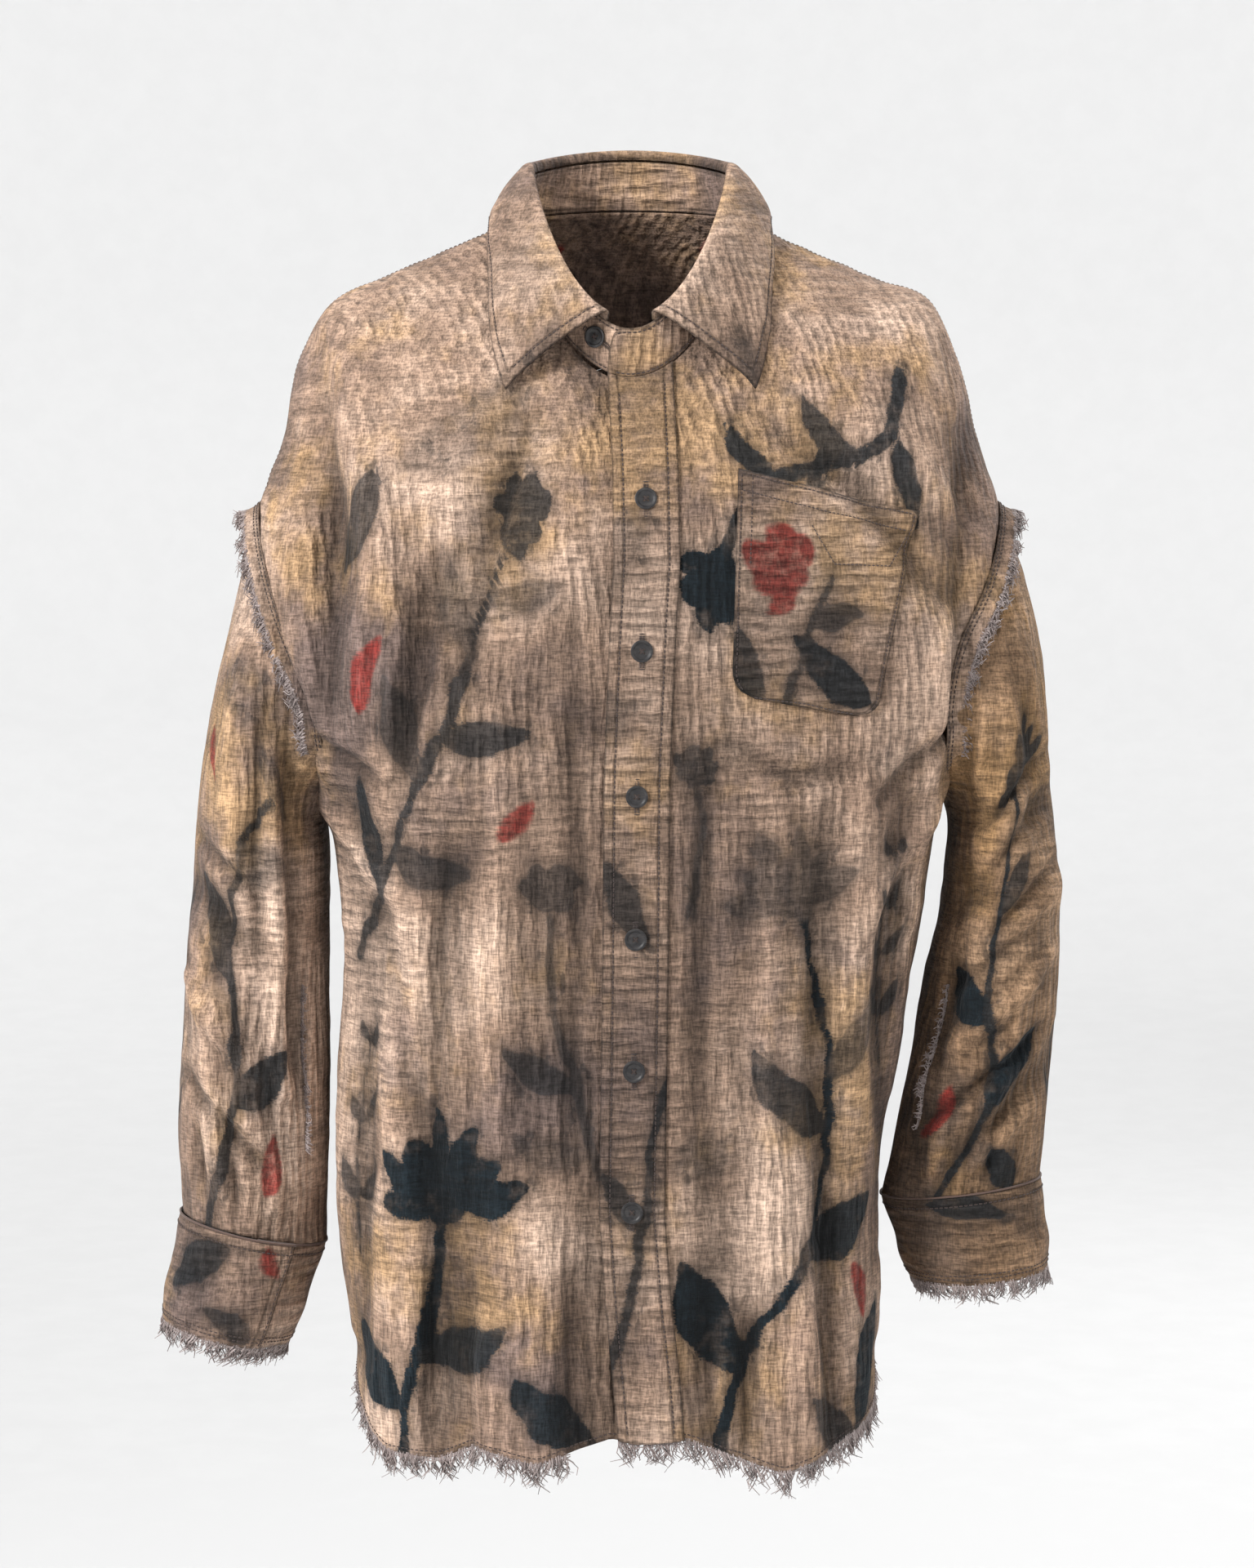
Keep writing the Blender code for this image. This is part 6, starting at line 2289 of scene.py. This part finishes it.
@dataclass
class Front:
    """The placket, the pocket and the buttons on the fronts."""

    body: BodyForm
    patches: dict
    cloth: Finish
    seam_thread: Finish
    button_material: Finish
    pocket_corners: tuple = ((65, -152), (175, -178), (148, -303), (61, -287))
    pocket_rounding: float = 14 * MM
    pocket_rows: int = 46
    pocket_columns: int = 38
    button_heights: tuple = (-170, -261, -348, -434, -514, -600)
    button_radius: float = 6.8 * MM
    button_thick: float = 2.4 * MM

    def build(self) -> None:
        """Lay the placket's and the pocket's cloth."""
        columns = slice(0, self.body.counts.placket + 1)
        patch = self.patches["front_left"][:, columns]
        points, smooth = self.body.dressed(patch[..., 0], patch[..., 1], PLACKET_STEP)
        rib = value_noise(points, (60, 60, 7), 91) * 0.25 * MM
        points = points + smooth * rib[..., None]
        self.placket = ClothGrid("placket", points, grid_normals(points, smooth), body_spots(points),
                                 stitched=(Edge.START, Edge.END), inset=6.6, rows_of_puckers=0.95)
        places_on = self.pocket_places()
        points, smooth = self.body.dressed(places_on[..., 0], places_on[..., 1], LAYER_STEP)
        points = points + smooth * (value_noise(points, (70, 70, 6.5), 92) * 0.32 * MM)[..., None]
        self.pocket = ClothGrid("pocket", points, grid_normals(points, smooth), body_spots(points),
                                stitched=tuple(Edge), inset=2.4, rows_of_puckers=1.0)

    def pocket_places(self) -> Array:
        """Places of the pocket; its lower corners are rounded by drawing the rows in.

        Returns:
            Rows and columns of places.
        """
        corners = np.array(self.pocket_corners) * MM
        grid = np.zeros((self.pocket_rows + 1, self.pocket_columns + 1, 2))
        for row in range(self.pocket_rows + 1):
            down = row / self.pocket_rows
            left = corners[0] + (corners[3] - corners[0]) * down
            right = corners[1] + (corners[2] - corners[1]) * down
            height = np.linalg.norm(corners[3] - corners[0]) * (1 - down)
            inset = 0.0
            if height < self.pocket_rounding:
                rounding = self.pocket_rounding
                inset = rounding - math.sqrt(max(rounding ** 2 - (rounding - height) ** 2, 0.0))
            width = np.linalg.norm(right - left)
            for column in range(self.pocket_columns + 1):
                across = (inset + (width - 2 * inset) * column / self.pocket_columns) / width
                x, z = left + (right - left) * across
                grid[row, column] = self.body.front_place(x, z)
        return grid

    def button_mesh(self) -> Piece:
        """Model one four-hole button at the origin, facing +Z.

        Returns:
            The button.
        """
        deselect_all()
        bpy.ops.mesh.primitive_cylinder_add(vertices=40, radius=self.button_radius * 0.90, depth=self.button_thick,
                                            location=(0, 0, self.button_thick / 2))
        button = bpy.context.active_object
        bpy.ops.object.mode_set(mode="EDIT")
        bpy.ops.mesh.select_mode(type="FACE")
        work = bmesh.from_edit_mesh(button.data)
        for face in work.faces:
            face.select_set(face.normal.z > 0.9)
        bmesh.update_edit_mesh(button.data)
        bpy.ops.transform.resize(value=(1.11, 1.11, 1.0))
        bpy.ops.mesh.inset(thickness=self.button_radius * 0.22)
        bpy.ops.mesh.inset(thickness=self.button_radius * 0.10)
        bpy.ops.transform.translate(value=(0, 0, -0.75 * MM))
        bpy.ops.mesh.select_all(action="SELECT")
        bpy.ops.mesh.normals_make_consistent(inside=False)
        bpy.ops.object.mode_set(mode="OBJECT")
        bevel = button.modifiers.new("edge", "BEVEL")
        bevel.width, bevel.segments, bevel.limit_method = 0.28 * MM, 2, "ANGLE"
        bpy.ops.object.modifier_apply(modifier="edge")
        for number in range(4):
            turn = math.pi / 4 + math.pi / 2 * number
            deselect_all()
            bpy.ops.mesh.primitive_cylinder_add(vertices=12, radius=0.72 * MM, depth=8 * MM,
                                                location=(1.55 * MM * math.cos(turn), 1.55 * MM * math.sin(turn), 0))
            drill = bpy.context.active_object
            bpy.context.view_layer.objects.active = button
            cut = button.modifiers.new("hole", "BOOLEAN")
            cut.object, cut.operation, cut.solver = drill, "DIFFERENCE", "EXACT"
            bpy.ops.object.modifier_apply(modifier="hole")
            bpy.data.objects.remove(drill, do_unlink=True)
        return button

    def button_seats(self, collar: Collar) -> list:
        """Seats of the buttons: name, place, facing and the way their buttonhole runs.

        Args:
            collar: The collar, for the button on its stand.

        Returns:
            The seats.
        """
        seats = []
        for number, height in enumerate(self.button_heights, start=1):
            x = float(self.body.centre_x(np.array(height * MM)))
            angle, level = (np.array([value]) for value in self.body.front_place(x, height * MM))
            seat, normal = self.body.dressed(angle, level, PLACKET_STEP + CLOTH_WALL / 2)
            seats.append((f"button_front_{number}", seat[0], normal[0], np.array([0.0, 0.0, 1.0])))
        run = np.linalg.norm(collar.stand.points[0] - collar.stand.points[0, 0], axis=1)
        column = int(np.argmin(np.abs(run - 12.5 * MM)))
        seat = collar.stand.points[6, column] + collar.stand_away[column] * CLOTH_WALL / 2
        way = unit(collar.stand.points[6, column + 3] - collar.stand.points[6, column - 3])
        seats.append(("button_stand", seat, collar.stand_away[column], way))
        return seats

    def dress(self, collar: Collar) -> list:
        """Args:
            collar: The collar, for the button on its stand.

        Returns:
            The stitching.
        """
        seams = Loom("stitches_front")
        for edge in (Edge.START, Edge.END):
            seams.stitches(*self.placket.line(edge, 6.6 * MM, 2, -2))
        rows = ((Edge.START, 2.2), (Edge.END, 2.2), (Edge.TOP, 2.2), (Edge.BOTTOM, 2.4), (Edge.BOTTOM, 13.0))
        for edge, inset in rows:
            seams.stitches(*self.pocket.line(edge, inset * MM, 1, -1), pitch=2.7 * MM, length=2.0 * MM)
        seams.stitches(*self.pocket.line(Edge.START, 9.0 * MM, 1, 20), pitch=2.7 * MM, length=2.0 * MM)
        corner = self.pocket.points[[8, 15, 13, 5], [16, 22, 34, 37]]
        facing = self.pocket.normals[[8, 15, 13, 5], [16, 22, 34, 37]]
        knots = np.linspace(0, 3, 40)
        line, out = (read_along(knots, range(4), values) for values in (corner, facing))
        seams.stitches(line, out, pitch=2.7 * MM, length=2.0 * MM, shade=0.45, lift=CLOTH_WALL / 2 + 0.3 * MM)
        model = self.button_mesh()
        for name, seat, normal, way in self.button_seats(collar):
            self.place_button(model, name, seat, normal, way)
            self.buttonhole(seams, seat, normal, way, name == "button_stand")
        bpy.data.objects.remove(model, do_unlink=True)
        stitching = ride_on_shirt(seams.piece(self.seam_thread), "frayed_threads")
        placket = ride_on_shirt(self.placket.shell(self.cloth), "printed_gauze", "placket")
        self.placket.area()
        pocket = ride_on_shirt(self.pocket.shell(self.cloth), "printed_gauze", "pocket")
        self.pocket.area()
        return [stitching]

    def place_button(self, model: Piece, name: str, seat: Array, normal: Array, way: Array) -> None:
        """Copy the button onto its seat, with its crossed sewing thread.

        Args:
            model: The button at the origin.
            name: The name.
            seat: Where it sits.
            normal: The way it faces.
            way: The way the buttonhole runs.
        """
        out = Vector(normal)
        up = (Vector(way) - out * Vector(way).dot(out)).normalized()
        across = up.cross(out)
        turned = Matrix((across, up, out)).transposed().to_4x4()
        stand_off = 0.4 * MM
        mesh = model.data.copy()
        mesh.transform(Matrix.Translation(Vector(seat) + out * stand_off) @ turned)
        mesh.materials.clear()
        mesh.materials.append(self.button_material)
        piece = bpy.data.objects.new(f"{name}_horn", mesh)
        bpy.context.scene.collection.objects.link(piece)
        deselect_all()
        piece.select_set(True)
        bpy.context.view_layer.objects.active = piece
        bpy.ops.object.shade_smooth_by_angle(angle=math.radians(35))
        ride_on_shirt(piece, "button", name)
        threads = Loom(f"{name}_thread")
        floor = np.array(seat) + np.array(normal) * (stand_off + self.button_thick - 0.72 * MM)
        side, upward = np.array(across), np.array(up)
        for first, second in ((1, 1), (1, -1)):
            arm = (side * first + upward * second) * 1.25 * MM
            path = np.stack([floor - arm - normal * 0.6 * MM, floor - arm * 0.7 + normal * 0.18 * MM,
                             floor + arm * 0.7 + normal * 0.18 * MM, floor + arm - normal * 0.6 * MM])
            threads.tube(path, [0.22 * MM] * 4, 6, 0.5)
        foot = np.array(seat)
        shank = np.stack([foot - normal * 0.2 * MM, foot + normal * (stand_off + 0.4 * MM)])
        threads.tube(shank, [1.3 * MM, 1.2 * MM], 8, 0.4)
        ride_on_shirt(threads.piece(self.seam_thread), "frayed_threads")

    def buttonhole(self, loom: Loom, seat: Array, normal: Array, way: Array, long_side: bool) -> None:
        """Sew a buttonhole round a slit that runs past the button.

        Args:
            loom: The collection of threads.
            seat: Where it sits.
            normal: The way it faces.
            way: The way the buttonhole runs.
            long_side: Whether the slit runs on to one side.
        """
        up = unit(np.array(way) - normal * np.dot(way, normal))
        across = np.cross(normal, up)
        low, high = (-8.0, 15.0) if long_side else (-9.5, 9.5)
        for mark in np.arange(low, high, 0.8):
            for hand in (1, -1):
                place = seat + up * mark * MM + across * hand * 0.9 * MM
                path = np.stack([place - across * 0.85 * MM, place + normal * 0.25 * MM, place + across * 0.85 * MM])
                loom.tube(path, [0.15 * MM, 0.30 * MM, 0.15 * MM], 4, 0.15)
        for mark in (low - 1.2, high + 1.0):
            place = seat + up * mark * MM
            path = np.stack([place - across * 1.7 * MM, place + normal * 0.3 * MM, place + across * 1.7 * MM])
            loom.tube(path, [0.2 * MM, 0.4 * MM, 0.2 * MM], 4, 0.1)


@dataclass
class HemAndSeams:
    """The raw hem's threads and the stitched seams of the body."""

    body: BodyForm
    grids: dict
    seam_thread: Finish
    loose_thread: Finish
    hidden_columns: int = 24

    def dress(self) -> dict[str, list]:
        """Make the fringes and the stitching, listed by the panel that they lie on.

        Returns:
            The pieces of each panel.
        """
        trims: dict[str, list] = {"front_left": [], "front_right": [], "back": [], "yoke": []}
        hems = (("front_left", "fray_hem_left", 0), ("front_right", "fray_hem_right", self.hidden_columns),
                ("back", "fray_hem_back", 0))
        for name, node, first in hems:
            grid = self.grids[name]
            line, facing = grid.points[0, first:], grid.normals[0, first:]
            down = unit(grid.points[0, first:] - grid.points[4, first:])
            fringe = Fringe(f"threads_{node}", 2300, (8 * MM, 17 * MM), 0.7, 7 + len(name))
            piece = ride_on_shirt(fringe.build(line, down, facing, self.loose_thread), "frayed_threads", node)
            trims[name].append(piece)
        for name, grid in self.grids.items():
            seams = Loom(f"stitches_{name}")
            count = self.body.counts
            if name == "yoke":
                seams.stitches(*grid.line(Edge.BOTTOM, 2.0 * MM))
                seams.stitches(*grid.line(Edge.TOP, 2.0 * MM, 0, count.shoulder))
                seams.stitches(*grid.line(Edge.TOP, 2.0 * MM, count.shoulder + count.back_neck, None))
            else:
                seams.stitches(*grid.line(Edge.BOTTOM, 3.5 * MM))
            if name == "front_right":
                seams.stitches(*grid.line(Edge.START, 3.0 * MM))
            piece = ride_on_shirt(seams.piece(self.seam_thread), "frayed_threads")
            trims[name].append(piece)
        return trims


@dataclass
class Studio:
    """Camera, lights and a plain pale ground."""

    distance: float = 2.40
    pitch: float = math.radians(5.0)
    target_x: float = -0.002
    target_z: float = -0.352
    focal: float = 86.53
    ground_z: float = -1.30
    near_tone: float = 0.62
    far_tone: float = 0.92
    air_strength: float = 0.90
    aim: tuple = (0.0, 0.0, -0.35)
    ground_steps: int = 64
    ground_profile: tuple = ((0.0, 0.0), (4.0, 0.0), (5.2, 0.12), (6.2, 0.6), (6.8, 1.5), (7.0, 3.0), (7.0, 7.0))
    lamps: tuple = (
        ("key", (-2.3, -2.1, 1.3), 0.8, 125.0),
        ("fill", (2.4, -2.0, 0.2), 2.4, 12.0),
        ("rim", (1.6, 2.4, 1.4), 1.4, 60.0),
    )

    def build(self) -> None:
        """Set up the whole studio."""
        self.camera()
        self.ground()
        for lamp in self.lamps:
            self.light(*lamp)
        world = bpy.data.worlds.new("studio_air")
        world.use_nodes = True
        world.node_tree.nodes["Background"].inputs[0].default_value = (1.0, 1.0, 1.0, 1.0)
        world.node_tree.nodes["Background"].inputs[1].default_value = self.air_strength
        bpy.context.scene.world = world
        bpy.context.scene.view_settings.view_transform = "Standard"

    def camera(self) -> None:
        """Put the camera at the photograph's angle; the frame is 1536 by 1920."""
        data = bpy.data.cameras.new("camera")
        data.sensor_fit = "VERTICAL"
        data.sensor_height, data.sensor_width = 36.0, 36.0
        data.lens = self.focal
        view = bpy.data.objects.new("camera", data)
        back, up = self.distance * math.cos(self.pitch), self.distance * math.sin(self.pitch)
        view.location = (self.target_x, -back, self.target_z + up)
        view.rotation_euler = (math.radians(90) - self.pitch, 0.0, 0.0)
        bpy.context.scene.collection.objects.link(view)
        bpy.context.scene.camera = view

    def light(self, name: str, place: tuple, size: float, power: float) -> None:
        """Add a soft square light that faces the shirt.

        Args:
            name: The name.
            place: Where it stands.
            size: Its width in metres.
            power: Its power in watts.
        """
        data = bpy.data.lights.new(name, "AREA")
        data.size, data.energy = size, power
        lamp = bpy.data.objects.new(name, data)
        lamp.location = place
        lamp.rotation_euler = (Vector(self.aim) - Vector(place)).to_track_quat("-Z", "Y").to_euler()
        bpy.context.scene.collection.objects.link(lamp)

    def ground(self) -> None:
        """Lay a wide pale floor that curves up into a low round wall; its tone is painted darker near the middle to
        offset the key light's pool.
        """
        vertices, faces = [], []
        steps = self.ground_steps
        for radius, height in self.ground_profile:
            for step in range(steps):
                turn = 2 * math.pi * step / steps
                vertices.append((radius * math.cos(turn), radius * math.sin(turn), self.ground_z + height))
        for ring in range(len(self.ground_profile) - 1):
            for step in range(steps):
                after = (step + 1) % steps
                low, high = ring * steps, (ring + 1) * steps
                faces.append([low + step, low + after, high + after, high + step])
        bench = NodeBench("pale_ground")
        # painted shade: the floor darker near the middle, where the key light pools, and paler towards the wall
        away = bench.node("VectorMath", {0: bench.coordinates}, operation="LENGTH")
        share = bench.ramp(away.outputs["Value"], 1.8, 6.2)
        grain = bench.ramp(bench.noise(bench.coordinates, 14.0, 4.0, 0.6), 0.3, 0.7, 0.0, 0.06)
        tones = [(self.near_tone,) * 3, (self.far_tone,) * 3]
        colour = bench.mix(bench.math("SUBTRACT", share, grain), *tones)
        pale = bench.finish({"Base Color": colour, "Roughness": 0.95})
        floor = link_mesh("ground", np.array(vertices), faces, pale, False)


def main() -> None:
    """Build the studio and every piece of the shirt."""
    logging.basicConfig(level=logging.INFO, format="%(message)s")
    Studio().build()
    body = BodyForm()
    cloth = GauzeFinish("gauze").material()
    seam_thread = ThreadFinish("seam_thread", (0.016, 0.008, 0.008), (0.11, 0.065, 0.05)).material()
    loose_thread = ThreadFinish("loose_thread", (0.15, 0.112, 0.105), (0.46, 0.385, 0.365)).material()
    panels = BodyPanels(body, cloth)
    grids = panels.build()
    trims = HemAndSeams(body, grids, seam_thread, loose_thread).dress()
    front = Front(body, panels.patches, cloth, seam_thread, ButtonFinish().material())
    front.build()
    collar = Collar(body, cloth, seam_thread)
    collar.build(panels.patches["front_left"], panels.patches["front_right"])
    collar.dress()
    trims["front_left"] += front.dress(collar)
    for side in Side:
        form = SleeveForm(body, side, **SLEEVES[side])
        # the left sleeve's gauze is a darker copy that carries painted shade
        sleeve_cloth = GauzeFinish(f"gauze_sleeve_{side.word}", **SLEEVE_TILT_AND_PAINTED_SHADE[side]).material()
        arm = Arm(form, sleeve_cloth, seam_thread, loose_thread)
        arm.build()
        arm.dress()
        Armhole(body, side).dress(cloth, seam_thread, loose_thread)
    panels.dress(trims)


if __name__ == "__main__":
    main()
